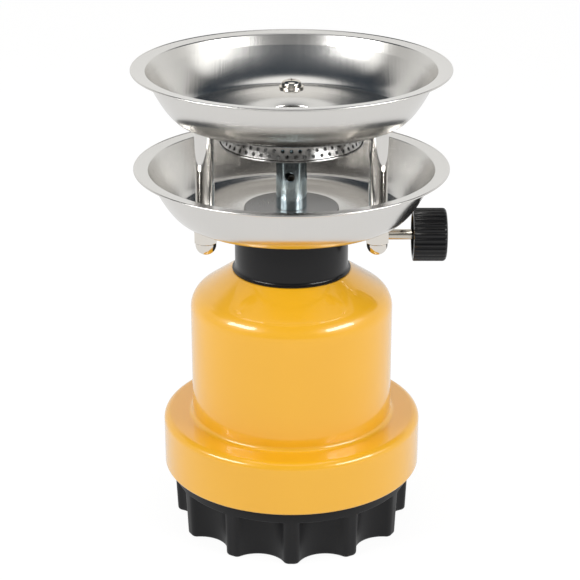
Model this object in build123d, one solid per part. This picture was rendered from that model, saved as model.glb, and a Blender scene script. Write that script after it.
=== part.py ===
from build123d import *
from math import cos, hypot, radians, sin
import os

# Portable gas burner that stands on its own pierced cartridge.
# The frame: Z is the axis of the cartridge and of both bowls, Z = 0 is the surface it stands on,
# and +X is the side of the control knob. Lengths are in millimetres, angles in degrees.

# Clearances: a turning fit, a loose fit, the seam between foot and skirt, and the thread's room
bearing_clearance = 0.05
fit_clearance = 0.15
seam_gap = 0.25
thread_gap = 0.5
cut_overrun = 1.0

# Gas cartridge, a standard pierced can with a domed top
cartridge_d = 90.0
cartridge_h = 92.0
cartridge_wall = 0.5
cartridge_crown_drop = 16.0
cartridge_shoulder_bend = 11.0
cartridge_crown_r = 8.0
cartridge_crown_bend = 18.0
cartridge_seam_w = 0.9
cartridge_seam_h = 2.4
cartridge_base_w = 3.6
cartridge_base_bend = 1.2
cartridge_base_lift = 5.0
pierce_gap = 0.35

# Screw foot, a moulding with a scalloped skirt and a threaded ring on top
foot_h = 28.9
foot_inset = 4.4
foot_draft = 1.1
foot_lobes = 12
foot_first_tip = -90.0
foot_scallop_depth = 8.7
foot_scallop_r = 13.4
foot_tip_round = 2.2
foot_edge_round = 2.0
foot_rim_h = 6.3
foot_rim_round = 0.8
foot_deck = 3.0
foot_wall = 3.0
foot_ribs = 6
foot_rib_t = 2.0
foot_rib_lift = 4.0
foot_hub_r = 16.0
thread_wall = 3.0
thread_wall_h = 16.0
thread_wall_lead = 1.0
locating_ring_h = 4.0
locating_ring_t = 1.8
locating_gap = 0.7

# Housing, one pressed steel shell with a wide skirt
housing_wall = 0.9
cartridge_room = 1.93
skirt_step_w = 13.97
skirt_h = 26.05
skirt_bend = 3.5
skirt_hem_w = 2.4
skirt_hem_bend = 1.2
step_bend = 2.2
shoulder_drop = 13.3
shoulder_bend = 10.5
neck_edge_w = 0.3
neck_bend = 1.5
valve_room = 7.1

# Threaded ring held inside the skirt by its hem
ring_flange_w = 3.05
ring_wall = 2.6
ring_web = 2.2
ring_h = 17.0

# Neck collar, a plastic sleeve between the housing and the lower bowl
collar_r = 26.6
collar_h = 28.7
collar_wall = 2.0
collar_lip_w = 1.3
collar_lip_edge = 0.7
collar_lip_h = 2.8
collar_slot_w = 7.6

# Both bowls come from one pressing; its section is given on the underside
bowl_depth = 22.9
bowl_sheet = 0.6
bowl_band_w = 5.9
bowl_band_rise = 1.9
bowl_shoulder_w = 1.7
bowl_shoulder_drop = 4.5
bowl_wall_w = 9.0
bowl_bend_w = 5.0
bowl_floor_edge_w = 0.3
bowl_plateau_edge_w = 1.3
bowl_plateau_slope_w = 1.8
bowl_plateau_rise = 0.8
bowl_band_bend = 0.6
bowl_bead_r = 0.7
flame_hole_r = 11.5

# Posts that carry the upper bowl, with a bolt through each
post_circle_r = 45.0
post_left_angle = 210.0
post_right_angle = 330.0
post_rear_angle = 90.0
post_r = 4.3
post_bore_r = 3.3
bolt_r = 3.0
bolt_head_r = 4.9
bolt_head_h = 3.2
bolt_head_edge = 0.8
bolt_end_room = 3.0
washer_r = 5.9
washer_t = 1.0
nut_flats = 10.0
nut_hex_h = 6.2
nut_h = 12.0
nut_dome_r = 4.8
nut_hole_room = 0.6

# Gas valve, turned from brass bar, with its nut, seal and hollow needle
valve_block_r = 9.5
spigot_r = 7.9
neck_nut_flats = 20.0
neck_nut_h = 3.6
seal_t = 3.0
seal_r = 6.2
seal_proud = 0.8
seal_gap = 0.2
needle_r = 1.6
needle_bore_r = 0.6
needle_reach = 6.0
needle_tip_h = 2.4
needle_hold = 5.0
passage_r = 1.1
nipple_r = 5.9
nipple_h = 9.3
spindle_drop = 12.3
spindle_boss_r = 6.2
spindle_seat_x = 3.0

# Jet in the top of the nipple
jet_r = 3.0
jet_sink = 3.0
jet_flats = 8.0
jet_hex_h = 2.6
jet_barrel_r = 2.2
jet_barrel_h = 2.2
jet_tip_h = 2.2
jet_tip_r = 1.2
jet_bore_r = 0.35

# Spindle, its gland and the knob
spindle_r = 2.5
spindle_tip_r = 0.9
spindle_tip_len = 2.4
spindle_thread_r = 3.3
spindle_thread_room = 2.1
oring_wire_r = 0.8
gland_flats = 15.0
gland_h = 5.6
gland_room = 3.0
gland_recess = 1.8
knob_stand_off = 0.4
knob_r = 12.5
knob_len = 15.7
knob_flutes = 30
knob_flute_r = 1.0
knob_flute_depth = 0.55
knob_edge_round = 1.8
knob_wall = 2.4
knob_recess = 9.0
knob_hub_r = 5.2
knob_hub_stand = 1.2
knob_grip = 10.5
knob_dish_r = 8.2
knob_dish_depth = 0.7

# Mixing tube and burner
clamp_plate_r = 22.0
clamp_plate_t = 1.0
tube_r = 7.15
tube_len = 28.2
air_hole_r = 2.35
air_holes = 4
air_hole_h = 16.3
air_hole_turn = -7.0
burner_post_room = 7.4
burner_headroom = 3.2
burner_sheet = 0.6
burner_rim_w = 3.6
dish_socket_h = 3.2
dish_depth = 3.8
dish_bend = 2.0
cap_edge_w = 0.1
cap_seat_w = 1.1
cap_seat_bend = 0.8
cap_slope_w = 3.1
cap_h = 8.8
cap_bend = 1.5
cap_dimple_r = 10.0
cap_dimple_slope_w = 2.5
cap_dimple_depth = 1.2
flame_ports = 50
flame_port_r = 0.85
flame_rows = 2
flame_row_h = 2.1
flame_row_pitch = 2.4

# Places worked out from the sizes above
cartridge_r = cartridge_d / 2
can_r = cartridge_r - cartridge_seam_w
crown_z = foot_h + cartridge_h
neck_z = crown_z + valve_room
housing_r = cartridge_r + cartridge_room + housing_wall
skirt_r = housing_r + skirt_step_w
foot_tip_r = skirt_r - foot_inset
ring_outer_r = skirt_r - housing_wall - fit_clearance
ring_inner_r = ring_outer_r - ring_flange_w - ring_wall
thread_wall_r = ring_inner_r - thread_gap
neck_r = collar_r + collar_lip_w + neck_edge_w
bowl_plateau_r = post_circle_r - washer_r - bowl_plateau_edge_w
bowl_floor_r = post_circle_r + washer_r + bowl_floor_edge_w
bowl_bend_r = bowl_floor_r + bowl_bend_w
bowl_shoulder_r = bowl_bend_r + bowl_wall_w
bowl_r = bowl_shoulder_r + bowl_shoulder_w + bowl_band_w
burner_r = post_circle_r - post_r - burner_post_room
cap_base_r = burner_r - cap_edge_w - cap_seat_w
cap_top_r = cap_base_r - cap_slope_w
knob_x = bowl_bend_r + knob_stand_off
spindle_boss_x = collar_r - collar_wall - gland_room - gland_h
skirt_z = foot_h + seam_gap
skirt_top_z = skirt_z + skirt_h
block_top_z = neck_z + collar_h
spindle_z = block_top_z - spindle_drop
lower_floor_z = block_top_z - bowl_plateau_rise
lower_rim_z = lower_floor_z + bowl_depth
post_z = lower_floor_z + bowl_sheet
clamp_plate_z = block_top_z + bowl_sheet
tube_z = clamp_plate_z + clamp_plate_t
tube_top_z = tube_z + tube_len
burner_rim_z = tube_top_z + dish_depth
upper_floor_z = burner_rim_z + cap_h + burner_headroom
upper_rim_z = upper_floor_z + bowl_depth
seal_z = crown_z + seal_gap
spigot_z = seal_z + seal_proud
needle_hold_z = seal_z + seal_t
nipple_top_z = block_top_z + nipple_h
nut_top_z = lower_floor_z - washer_t
nut_bottom_z = nut_top_z - nut_h


def parallel(points, distance):
    """Corner points of the run of lines that lies beside an open run, to its left."""
    moved = []
    for (x0, y0), (x1, y1) in zip(points, points[1:]):
        length = hypot(x1 - x0, y1 - y0)
        nx = -(y1 - y0) / length * distance
        ny = (x1 - x0) / length * distance
        moved.append(((x0 + nx, y0 + ny), (x1 + nx, y1 + ny)))
    corners = [moved[0][0]]
    for (a, b), (c, d) in zip(moved, moved[1:]):
        ux, uy = b[0] - a[0], b[1] - a[1]
        vx, vy = d[0] - c[0], d[1] - c[1]
        along = ((c[0] - a[0]) * vy - (c[1] - a[1]) * vx) / (ux * vy - uy * vx)
        corners.append((a[0] + ux * along, a[1] + uy * along))
    corners.append(moved[-1][1])
    return corners


def sheet_turned(points, bends, thickness):
    """Solid turned from bent sheet metal.

    The points are (radius, height) corners of one face of the sheet, bends holds the radius of
    that face at each inner corner, and the metal lies to the right of the run."""
    other = parallel(points, -thickness)
    other_bends = []
    for before, corner, after, bend in zip(points, points[1:], points[2:], bends):
        ux, uy = corner[0] - before[0], corner[1] - before[1]
        vx, vy = after[0] - corner[0], after[1] - corner[1]
        turns_left = ux * vy - uy * vx > 0
        other_bends.append(bend + thickness if turns_left else bend - thickness)
    near = FilletPolyline(*points, radius=bends)
    far = FilletPolyline(*other, radius=other_bends)
    ends = [Line(points[0], other[0]), Line(points[-1], other[-1])]
    return revolve(Plane.XZ * make_face([near, far, *ends]), Axis.Z)


def turned(*points):
    """Solid turned from a closed run of (radius, height) points."""
    return revolve(Plane.XZ * make_face(Polyline(*points, close=True)), Axis.Z)


def rod(radius, z_low, z_high):
    """Upright cylinder on the main axis."""
    return Pos(0, 0, z_low) * extrude(Circle(radius), z_high - z_low)


def tube(outer_r, inner_r, z_low, z_high):
    """Upright tube on the main axis."""
    return Pos(0, 0, z_low) * extrude(Circle(outer_r) - Circle(inner_r), z_high - z_low)


def hex_prism(flats, z_low, z_high):
    """Upright hexagonal prism, sized across its flats."""
    outline = RegularPolygon(flats / 2, side_count=6, major_radius=False)
    return Pos(0, 0, z_low) * extrude(outline, z_high - z_low)


def on_spindle(shape, x=0):
    """Turns a shape made along Z onto the spindle's axis, with its Z = 0 at the given x."""
    return Plane(origin=(x, 0, spindle_z), x_dir=(0, 1, 0), z_dir=(1, 0, 0)) * shape


def at_posts(shape):
    """One copy of a shape, made on the main axis, at each post."""
    angles = {"left": post_left_angle, "right": post_right_angle, "rear": post_rear_angle}
    return {
        name: Pos(post_circle_r * cos(radians(angle)), post_circle_r * sin(radians(angle))) * shape
        for name, angle in angles.items()
    }


# Screw foot

def lobed_outline(tip_r, wall=0):
    """Circle bitten by round scallops, drawn a wall's thickness further in."""
    scallop_centre = tip_r - foot_scallop_depth + foot_scallop_r
    step = 360 / foot_lobes
    outline = Circle(tip_r - wall)
    for index in range(foot_lobes):
        turn = Rot(0, 0, foot_first_tip + (index + 1 / 2) * step)
        outline -= turn * Pos(scallop_centre, 0) * Circle(foot_scallop_r + wall)
    return outline


def make_foot():
    """Scalloped base, hollow and ribbed beneath, with the threaded ring on its deck."""
    bottom_r = foot_tip_r - foot_draft
    deck_z = foot_h - foot_deck
    bottom = lobed_outline(bottom_r)
    bottom = fillet(bottom.vertices(), foot_tip_round)
    top = lobed_outline(foot_tip_r)
    top = Pos(0, 0, deck_z) * fillet(top.vertices(), foot_tip_round)
    body = loft([bottom.face(), top.face()], ruled=True)
    body = fillet(body.edges().group_by(Axis.Z)[0], foot_edge_round)
    rim = rod(foot_tip_r, foot_h - foot_rim_h, foot_h)
    body += fillet(rim.edges().group_by(Axis.Z)[-1], foot_rim_round)
    body -= extrude(lobed_outline(bottom_r, foot_wall), deck_z)
    valley_r = bottom_r - foot_scallop_depth - foot_wall
    rib_len = valley_r - foot_hub_r + foot_wall
    rib_h = deck_z - foot_rib_lift
    rib_centre = Pos(foot_hub_r + rib_len / 2 - foot_wall / 2, 0, foot_rib_lift + rib_h / 2)
    for index in range(foot_ribs):
        turn = Rot(0, 0, foot_first_tip + (index + 1 / 4) * 360 / foot_ribs)
        body += turn * rib_centre * Box(rib_len, foot_rib_t, rib_h)
    body += tube(foot_hub_r, foot_hub_r - foot_wall, 0, deck_z)
    ring_in = cartridge_r + locating_gap
    body += tube(ring_in + locating_ring_t, ring_in, foot_h, foot_h + locating_ring_h)
    thread_top = foot_h + thread_wall_h
    body += turned(
        (thread_wall_r - thread_wall, foot_h),
        (thread_wall_r, foot_h),
        (thread_wall_r, thread_top - thread_wall_lead),
        (thread_wall_r - thread_wall_lead, thread_top),
        (thread_wall_r - thread_wall, thread_top),
    )
    return body


# Gas cartridge

def make_cartridge():
    """Thin steel can with a concave base, seamed edges and a domed top that the needle pierces."""
    shoulder_z = crown_z - cartridge_crown_drop
    base_r = can_r - cartridge_base_w
    base_top = foot_h + cartridge_base_lift
    body = sheet_turned(
        [
            (needle_r + pierce_gap, crown_z),
            (cartridge_crown_r, crown_z),
            (can_r, shoulder_z),
            (can_r, foot_h),
            (base_r, foot_h),
            (base_r - cartridge_base_lift, base_top),
            (0, base_top),
        ],
        [
            cartridge_crown_bend,
            cartridge_shoulder_bend,
            cartridge_base_bend,
            cartridge_base_bend,
            cartridge_base_lift,
        ],
        cartridge_wall,
    )
    seam_in = can_r - cartridge_wall / 2
    lower_seam_z = foot_h + cartridge_base_bend
    upper_seam_z = shoulder_z - cartridge_shoulder_bend
    for seam_z in (lower_seam_z, upper_seam_z):
        body += tube(cartridge_r, seam_in, seam_z, seam_z + cartridge_seam_h)
    return body


# Housing and what is fixed in it

def make_housing():
    """Pressed shell: flat neck, sloping shoulder, straight wall, step and wide hemmed skirt."""
    return sheet_turned(
        [
            (spigot_r + fit_clearance, neck_z),
            (neck_r, neck_z),
            (housing_r, neck_z - shoulder_drop),
            (housing_r, skirt_top_z),
            (skirt_r, skirt_top_z),
            (skirt_r, skirt_z),
            (skirt_r - skirt_hem_w, skirt_z),
        ],
        [neck_bend, shoulder_bend, step_bend, skirt_bend, skirt_hem_bend],
        housing_wall,
    )


def make_thread_ring():
    """Plastic ring of channel section that the foot screws into."""
    low_z = skirt_z + housing_wall
    high_z = low_z + ring_h
    hem_room = skirt_hem_bend
    return turned(
        (ring_inner_r, low_z),
        (ring_outer_r - hem_room, low_z),
        (ring_outer_r, low_z + hem_room),
        (ring_outer_r, low_z + hem_room + ring_web),
        (ring_inner_r + ring_wall, low_z + hem_room + ring_web),
        (ring_inner_r + ring_wall, high_z - ring_web),
        (ring_outer_r, high_z - ring_web),
        (ring_outer_r, high_z),
        (ring_inner_r, high_z),
    )


def make_neck_collar():
    """Black sleeve with a flared lip and a slot in its top edge that the spindle lies in."""
    lip_r = collar_r + collar_lip_w
    edge_z = neck_z + collar_lip_edge
    flare_z = neck_z + collar_lip_h
    inner_r = collar_r - collar_wall
    section = make_face([
        Line((inner_r, neck_z), (lip_r, neck_z)),
        Line((lip_r, neck_z), (lip_r, edge_z)),
        Bezier((lip_r, edge_z), (collar_r, edge_z), (collar_r, flare_z)),
        Line((collar_r, flare_z), (collar_r, block_top_z)),
        Line((collar_r, block_top_z), (inner_r, block_top_z)),
        Line((inner_r, block_top_z), (inner_r, neck_z)),
    ])
    body = revolve(Plane.XZ * section, Axis.Z)
    slot_z = (spindle_z + block_top_z) / 2
    body -= Pos(lip_r / 2, 0, slot_z) * Box(lip_r + cut_overrun, collar_slot_w, spindle_drop)
    body -= on_spindle(extrude(Circle(collar_slot_w / 2), lip_r + cut_overrun))
    return body


def make_neck_nut():
    """Nut under the neck that clamps the valve to the housing."""
    top_z = neck_z - housing_wall
    body = hex_prism(neck_nut_flats, top_z - neck_nut_h, top_z)
    return body - rod(spigot_r + bearing_clearance, top_z - neck_nut_h, top_z)


# Valve

def make_valve_body():
    """Brass body: threaded spigot below, block with the spindle boss, nipple above."""
    body = rod(spigot_r, spigot_z, neck_z)
    body += rod(valve_block_r, neck_z, block_top_z)
    body += rod(nipple_r, block_top_z, nipple_top_z)
    body += on_spindle(extrude(Circle(spindle_boss_r), spindle_boss_x))
    body -= rod(seal_r + fit_clearance, spigot_z, needle_hold_z)
    body -= rod(needle_r + bearing_clearance, needle_hold_z, needle_hold_z + needle_hold)
    body -= rod(passage_r, needle_hold_z + needle_hold, nipple_top_z)
    body -= rod(jet_r + bearing_clearance, nipple_top_z - jet_sink, nipple_top_z)
    body -= on_spindle(extrude(Circle(passage_r), spindle_seat_x))
    bore_r = spindle_thread_r + bearing_clearance
    bore_x = spindle_seat_x - seam_gap
    body -= on_spindle(extrude(Circle(bore_r), spindle_boss_x - bore_x), bore_x)
    return body


def make_needle_seal():
    """Rubber ring that seals the valve on the cartridge's crown."""
    return tube(seal_r, needle_r + fit_clearance, seal_z, seal_z + seal_t)


def make_needle():
    """Hollow steel needle that pierces the cartridge."""
    tip_z = crown_z - needle_reach
    top_z = needle_hold_z + needle_hold
    return turned(
        (needle_bore_r, tip_z),
        (needle_r, tip_z + needle_tip_h),
        (needle_r, top_z),
        (needle_bore_r, top_z),
    )


def make_jet():
    """Brass gas jet with a hexagon and a tapered nose."""
    hex_top = nipple_top_z + jet_hex_h
    barrel_top = hex_top + jet_barrel_h
    body = rod(jet_r, nipple_top_z - jet_sink, nipple_top_z)
    body += hex_prism(jet_flats, nipple_top_z, hex_top)
    body += turned(
        (0, hex_top),
        (jet_barrel_r, hex_top),
        (jet_barrel_r, barrel_top),
        (jet_tip_r, barrel_top + jet_tip_h),
        (0, barrel_top + jet_tip_h),
    )
    return body - rod(jet_bore_r, nipple_top_z - jet_sink, barrel_top + jet_tip_h)


def make_spindle():
    """Valve spindle: conical tip, threaded part and the long shaft to the knob."""
    thread_x = spindle_seat_x + spindle_tip_len
    shaft_x = spindle_boss_x - spindle_thread_room
    end_x = knob_x + knob_grip - bearing_clearance
    body = turned(
        (0, spindle_seat_x),
        (spindle_tip_r, spindle_seat_x),
        (spindle_thread_r, thread_x),
        (spindle_thread_r, shaft_x),
        (spindle_r, shaft_x),
        (spindle_r, end_x),
        (0, end_x),
    )
    return on_spindle(body)


def make_spindle_seal():
    """O-ring that the gland presses round the spindle."""
    ring_r = spindle_r + bearing_clearance + oring_wire_r
    return on_spindle(Torus(ring_r, oring_wire_r), spindle_boss_x + gland_recess / 2)


def make_gland_nut():
    """Gland nut on the end of the spindle boss."""
    recess_r = spindle_r + bearing_clearance * 2 + oring_wire_r * 2
    body = hex_prism(gland_flats, 0, gland_h)
    body -= rod(spindle_r + bearing_clearance, 0, gland_h)
    body -= rod(recess_r, 0, gland_recess)
    return on_spindle(body, spindle_boss_x)


def make_knob():
    """Fluted knob with a rounded outer edge, hollow on the side that faces the stove."""
    outline = Circle(knob_r)
    flute_centre = knob_r + knob_flute_r - knob_flute_depth
    for index in range(knob_flutes):
        outline -= Rot(0, 0, index * 360 / knob_flutes) * Pos(flute_centre, 0) * Circle(knob_flute_r)
    blank = rod(knob_r, 0, knob_len)
    blank = fillet(blank.edges().group_by(Axis.Z)[-1], knob_edge_round)
    body = extrude(outline, knob_len) & blank
    body -= tube(knob_r - knob_wall, knob_hub_r, 0, knob_recess)
    body -= rod(knob_hub_r + cut_overrun, 0, knob_hub_stand)
    body -= rod(spindle_r + bearing_clearance / 2, 0, knob_grip)
    dish_z = knob_len - knob_dish_depth
    body -= rod(knob_dish_r, dish_z, knob_len)
    return on_spindle(body, knob_x)


# Bowls and posts

def make_bowl(rim_z, hole_r):
    """Spun bowl: beaded edge, sloping rim band, curved wall, flat ring for the posts, raised middle."""
    floor_z = rim_z - bowl_depth
    bead_z = rim_z - bowl_bead_r
    under = [
        (bowl_r - bowl_bead_r, bead_z - bowl_sheet / 2),
        (bowl_r - bowl_band_w, rim_z - bowl_sheet - bowl_band_rise),
        (bowl_shoulder_r, rim_z - bowl_shoulder_drop),
        (bowl_bend_r, floor_z),
        (bowl_floor_r, floor_z),
        (bowl_plateau_r, floor_z),
        (bowl_plateau_r - bowl_plateau_slope_w, floor_z + bowl_plateau_rise),
        (hole_r, floor_z + bowl_plateau_rise),
    ]
    bend = under[:4] + under[5:]
    inside = parallel(bend, -bowl_sheet)
    floor_share = (bowl_bend_r - bowl_floor_r) / (bowl_bend_r - bowl_plateau_r)
    inside_floor_r = inside[3][0] + (inside[4][0] - inside[3][0]) * floor_share
    inside.insert(4, (inside_floor_r, floor_z + bowl_sheet))
    edges = [Line(under[0], inside[0]), Line(under[-1], inside[-1])]
    for face, bend_r in ((under, bowl_band_bend), (inside, bowl_band_bend + bowl_sheet)):
        edges.append(FilletPolyline(*face[:3], radius=bend_r))
        edges.append(Bezier(*face[2:5]))
        edges.append(Polyline(*face[4:]))
    section = make_face(edges) + Pos(bowl_r - bowl_bead_r, bead_z) * Circle(bowl_bead_r)
    body = revolve(Plane.XZ * section, Axis.Z)
    for hole in at_posts(rod(bolt_r + fit_clearance, floor_z, floor_z + bowl_sheet)).values():
        body -= hole
    return body


def make_posts():
    """Polished spacer tubes between the bowls, by name."""
    return at_posts(tube(post_r, post_bore_r, post_z, upper_floor_z))


def make_post_bolts():
    """Long bolts through the posts, with low domed heads inside the upper bowl."""
    head_z = upper_floor_z + bowl_sheet + washer_t
    edge_z = head_z + bolt_head_edge
    top_z = head_z + bolt_head_h
    end_z = nut_bottom_z + bolt_end_room
    section = make_face([
        Polyline((0, top_z), (0, end_z), (bolt_r, end_z), (bolt_r, head_z), (bolt_head_r, head_z)),
        Line((bolt_head_r, head_z), (bolt_head_r, edge_z)),
        Bezier((bolt_head_r, edge_z), (bolt_head_r, top_z), (0, top_z)),
    ])
    return at_posts(revolve(Plane.XZ * section, Axis.Z))


def make_head_washers():
    """Washers under the bolt heads."""
    low_z = upper_floor_z + bowl_sheet
    return at_posts(tube(washer_r, bolt_r + fit_clearance, low_z, low_z + washer_t))


def make_nut_washers():
    """Washers between the lower bowl and the domed nuts."""
    return at_posts(tube(washer_r, bolt_r + fit_clearance, nut_top_z, lower_floor_z))


def make_domed_nuts():
    """Domed nuts under the lower bowl."""
    body = hex_prism(nut_flats, nut_top_z - nut_hex_h, nut_top_z)
    body += rod(nut_dome_r, nut_bottom_z + nut_dome_r, nut_top_z - nut_hex_h)
    body += Pos(0, 0, nut_bottom_z + nut_dome_r) * Sphere(nut_dome_r)
    hole_z = nut_bottom_z + bolt_end_room - nut_hole_room
    return at_posts(body - rod(bolt_r + bearing_clearance, hole_z, nut_top_z))


# Mixing tube and burner

def make_clamp_plate():
    """Round plate that spreads the mixing tube's pressure over the lower bowl."""
    return tube(clamp_plate_r, nipple_r + fit_clearance, clamp_plate_z, tube_z)


def make_mixing_tube():
    """Zinc plated tube with round air holes above the jet."""
    body = tube(tube_r, nipple_r + bearing_clearance, tube_z, tube_top_z)
    hole_len = tube_r + cut_overrun
    for index in range(air_holes):
        turn = Rot(0, 0, foot_first_tip + air_hole_turn + index * 360 / air_holes)
        place = Pos(hole_len / 2, 0, tube_z + air_hole_h)
        body -= turn * place * Rot(0, 90, 0) * Cylinder(air_hole_r, hole_len)
    return body


def make_burner_dish():
    """Pressed dish with a socket round the mixing tube and a flat rim."""
    socket_r = tube_r + bearing_clearance
    return sheet_turned(
        [
            (socket_r, tube_top_z - dish_socket_h),
            (socket_r, tube_top_z),
            (burner_r - burner_rim_w, burner_rim_z),
            (burner_r, burner_rim_z),
        ],
        [dish_bend, dish_bend],
        burner_sheet,
    )


def make_burner_cap():
    """Perforated burner cap: a steep band with staggered rows of round flame ports."""
    seat_z = burner_rim_z + burner_sheet
    top_z = burner_rim_z + cap_h
    low_z = top_z - cap_dimple_depth
    body = sheet_turned(
        [
            (0, low_z),
            (cap_dimple_r, low_z),
            (cap_dimple_r + cap_dimple_slope_w, top_z),
            (cap_top_r, top_z),
            (cap_base_r, seat_z),
            (cap_base_r + cap_seat_w, seat_z),
        ],
        [cap_bend, cap_bend, cap_bend, cap_seat_bend],
        burner_sheet,
    )
    slope_share = (cap_base_r - cap_top_r) / (top_z - seat_z)
    port_step = 360 / flame_ports
    ports = Part()
    for row in range(flame_rows):
        port_z = burner_rim_z + flame_row_h + row * flame_row_pitch
        band_r = cap_base_r - (port_z - seat_z) * slope_share
        port = Pos(band_r, 0, port_z) * Rot(0, 90, 0) * Cylinder(flame_port_r, burner_sheet * 4)
        ports += [
            Rot(0, 0, (index + row / 2) * port_step) * port for index in range(flame_ports)
        ]
    return body - ports


def main():
    """Makes every piece and writes one file for each node."""
    os.makedirs("parts", exist_ok=True)
    posts = make_posts()
    nodes = {
        "screw_foot": make_foot(),
        "gas_cartridge": make_cartridge(),
        "housing": make_housing(),
        "thread_ring": make_thread_ring(),
        "neck_collar": make_neck_collar(),
        "neck_nut": make_neck_nut(),
        "valve_body": make_valve_body(),
        "needle_seal": make_needle_seal(),
        "piercing_needle": make_needle(),
        "gas_jet": make_jet(),
        "valve_spindle": make_spindle(),
        "spindle_seal": make_spindle_seal(),
        "gland_nut": make_gland_nut(),
        "control_knob": make_knob(),
        "lower_bowl": make_bowl(lower_rim_z, nipple_r + fit_clearance),
        "upper_bowl": make_bowl(upper_rim_z, flame_hole_r),
        "post_left": posts["left"],
        "post_right": posts["right"],
        "post_rear": posts["rear"],
        "post_bolts": Compound(children=list(make_post_bolts().values())),
        "head_washers": Compound(children=list(make_head_washers().values())),
        "nut_washers": Compound(children=list(make_nut_washers().values())),
        "domed_nuts": Compound(children=list(make_domed_nuts().values())),
        "clamp_plate": make_clamp_plate(),
        "mixing_tube": make_mixing_tube(),
        "burner_dish": make_burner_dish(),
        "burner_cap": make_burner_cap(),
    }
    for name, shape in nodes.items():
        export_step(shape, f"parts/{name}.step")


main()
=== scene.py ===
import logging
from collections.abc import Callable
from dataclasses import dataclass, replace
from enum import Enum
from math import acos, asin, atan2, cos, hypot, pi, radians, sin, tan

import bpy
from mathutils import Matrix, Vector


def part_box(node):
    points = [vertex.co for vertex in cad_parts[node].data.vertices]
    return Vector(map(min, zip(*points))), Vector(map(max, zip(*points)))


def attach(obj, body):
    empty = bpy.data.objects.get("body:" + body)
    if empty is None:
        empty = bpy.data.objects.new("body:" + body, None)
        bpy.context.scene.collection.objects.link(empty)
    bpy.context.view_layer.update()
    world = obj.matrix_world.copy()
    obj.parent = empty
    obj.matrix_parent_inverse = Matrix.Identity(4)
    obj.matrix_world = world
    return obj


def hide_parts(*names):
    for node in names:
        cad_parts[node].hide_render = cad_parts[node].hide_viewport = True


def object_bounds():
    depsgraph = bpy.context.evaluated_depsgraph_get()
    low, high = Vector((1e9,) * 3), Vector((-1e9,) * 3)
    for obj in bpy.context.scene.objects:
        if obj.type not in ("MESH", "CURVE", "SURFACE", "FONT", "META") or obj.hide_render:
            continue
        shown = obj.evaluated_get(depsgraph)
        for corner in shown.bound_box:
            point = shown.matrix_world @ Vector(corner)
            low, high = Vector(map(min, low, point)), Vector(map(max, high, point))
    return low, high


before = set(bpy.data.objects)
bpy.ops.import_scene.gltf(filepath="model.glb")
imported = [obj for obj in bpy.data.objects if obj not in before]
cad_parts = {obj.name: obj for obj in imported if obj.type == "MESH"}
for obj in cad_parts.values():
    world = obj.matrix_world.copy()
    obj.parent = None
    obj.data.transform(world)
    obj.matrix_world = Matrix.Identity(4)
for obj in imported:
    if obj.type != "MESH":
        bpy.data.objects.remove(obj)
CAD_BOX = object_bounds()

# Portable gas burner on its own cartridge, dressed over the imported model.
# Sizes of the object are in millimetres and become metres where a mesh is made. The studio is in metres.

MM = 0.001
WELD = 0.000002
SLIVER = WELD / 4
LEAST_MITRE = 0.5
# A run has a short straight beside each arc, this part of its radius and of the room there at most.
LEAD_OF_BEND = 5
LEAD_OF_ROOM = 4
Point = tuple[float, float]
Place = tuple[float, float, float]
Piece = bpy.types.Object
Look = bpy.types.Material
Tree = bpy.types.NodeTree
Node = bpy.types.Node
Socket = bpy.types.NodeSocket
log = logging.getLogger("gas_burner")


class Axis(Enum):
    """Line that a turned piece is spun round."""

    UPRIGHT = "upright"
    SPINDLE = "spindle"


class Grain(Enum):
    """How the marks of making run over a metal surface, and the pattern values that draw them."""

    SPUN = {"Scale": 2600.0, "Rise": 0.6}
    DRAWN = {"X": 1.0, "Y": 1.0, "Z": 0.05, "Scale": 1800.0}
    TURNED = {"X": 1.0, "Y": 0.03, "Z": 0.03, "Scale": 2500.0}
    ROLLED = {"X": 1.0, "Y": 0.02, "Z": 0.02, "Scale": 900.0}


class Moulding(Enum):
    """Texture of a moulded plastic surface: spread of its gloss, scale and depth of its grain."""

    SATIN = (0.06, 2600.0, 0.02)
    GLOSS = (0.03, 1400.0, 0.004)


# Outlines


def rounded(corners: list[Point], bends: list[float], steps: int = 6) -> list[Point]:
    """Run of points through corners, with an arc and a short straight beside it at each inner one.

    Args:
        corners: the corner points, the two ends among them.
        bends: radius of the arc at each inner corner, 0 for a sharp one.
        steps: straight pieces in each arc.

    Returns:
        The points of the whole run.
    """
    path = [corners[0]]
    for before, corner, after, bend in zip(corners, corners[1:], corners[2:], bends):
        if bend == 0:
            path.append(corner)
            continue
        into = (Vector(corner) - Vector(before)).normalized()
        out = (Vector(after) - Vector(corner)).normalized()
        turn = atan2(into.x * out.y - into.y * out.x, into.dot(out))
        reach = bend * tan(abs(turn) / 2)
        side = 1 if turn > 0 else -1
        start = Vector(corner) - into * reach
        centre = start + Vector((-into.y, into.x)) * bend * side
        arm = start - centre
        lead = min(bend / LEAD_OF_BEND, (start - Vector(path[-1])).length / LEAD_OF_ROOM)
        path.append(tuple(start - into * lead))
        for index in range(steps + 1):
            angle = turn * index / steps
            swung = Vector((
                arm.x * cos(angle) - arm.y * sin(angle),
                arm.x * sin(angle) + arm.y * cos(angle)))
            path.append(tuple(centre + swung))
        room = (Vector(after) - Vector(path[-1])).length
        path.append(tuple(Vector(path[-1]) + out * min(bend / LEAD_OF_BEND, room / LEAD_OF_ROOM)))
    path.append(corners[-1])
    return path


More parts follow.
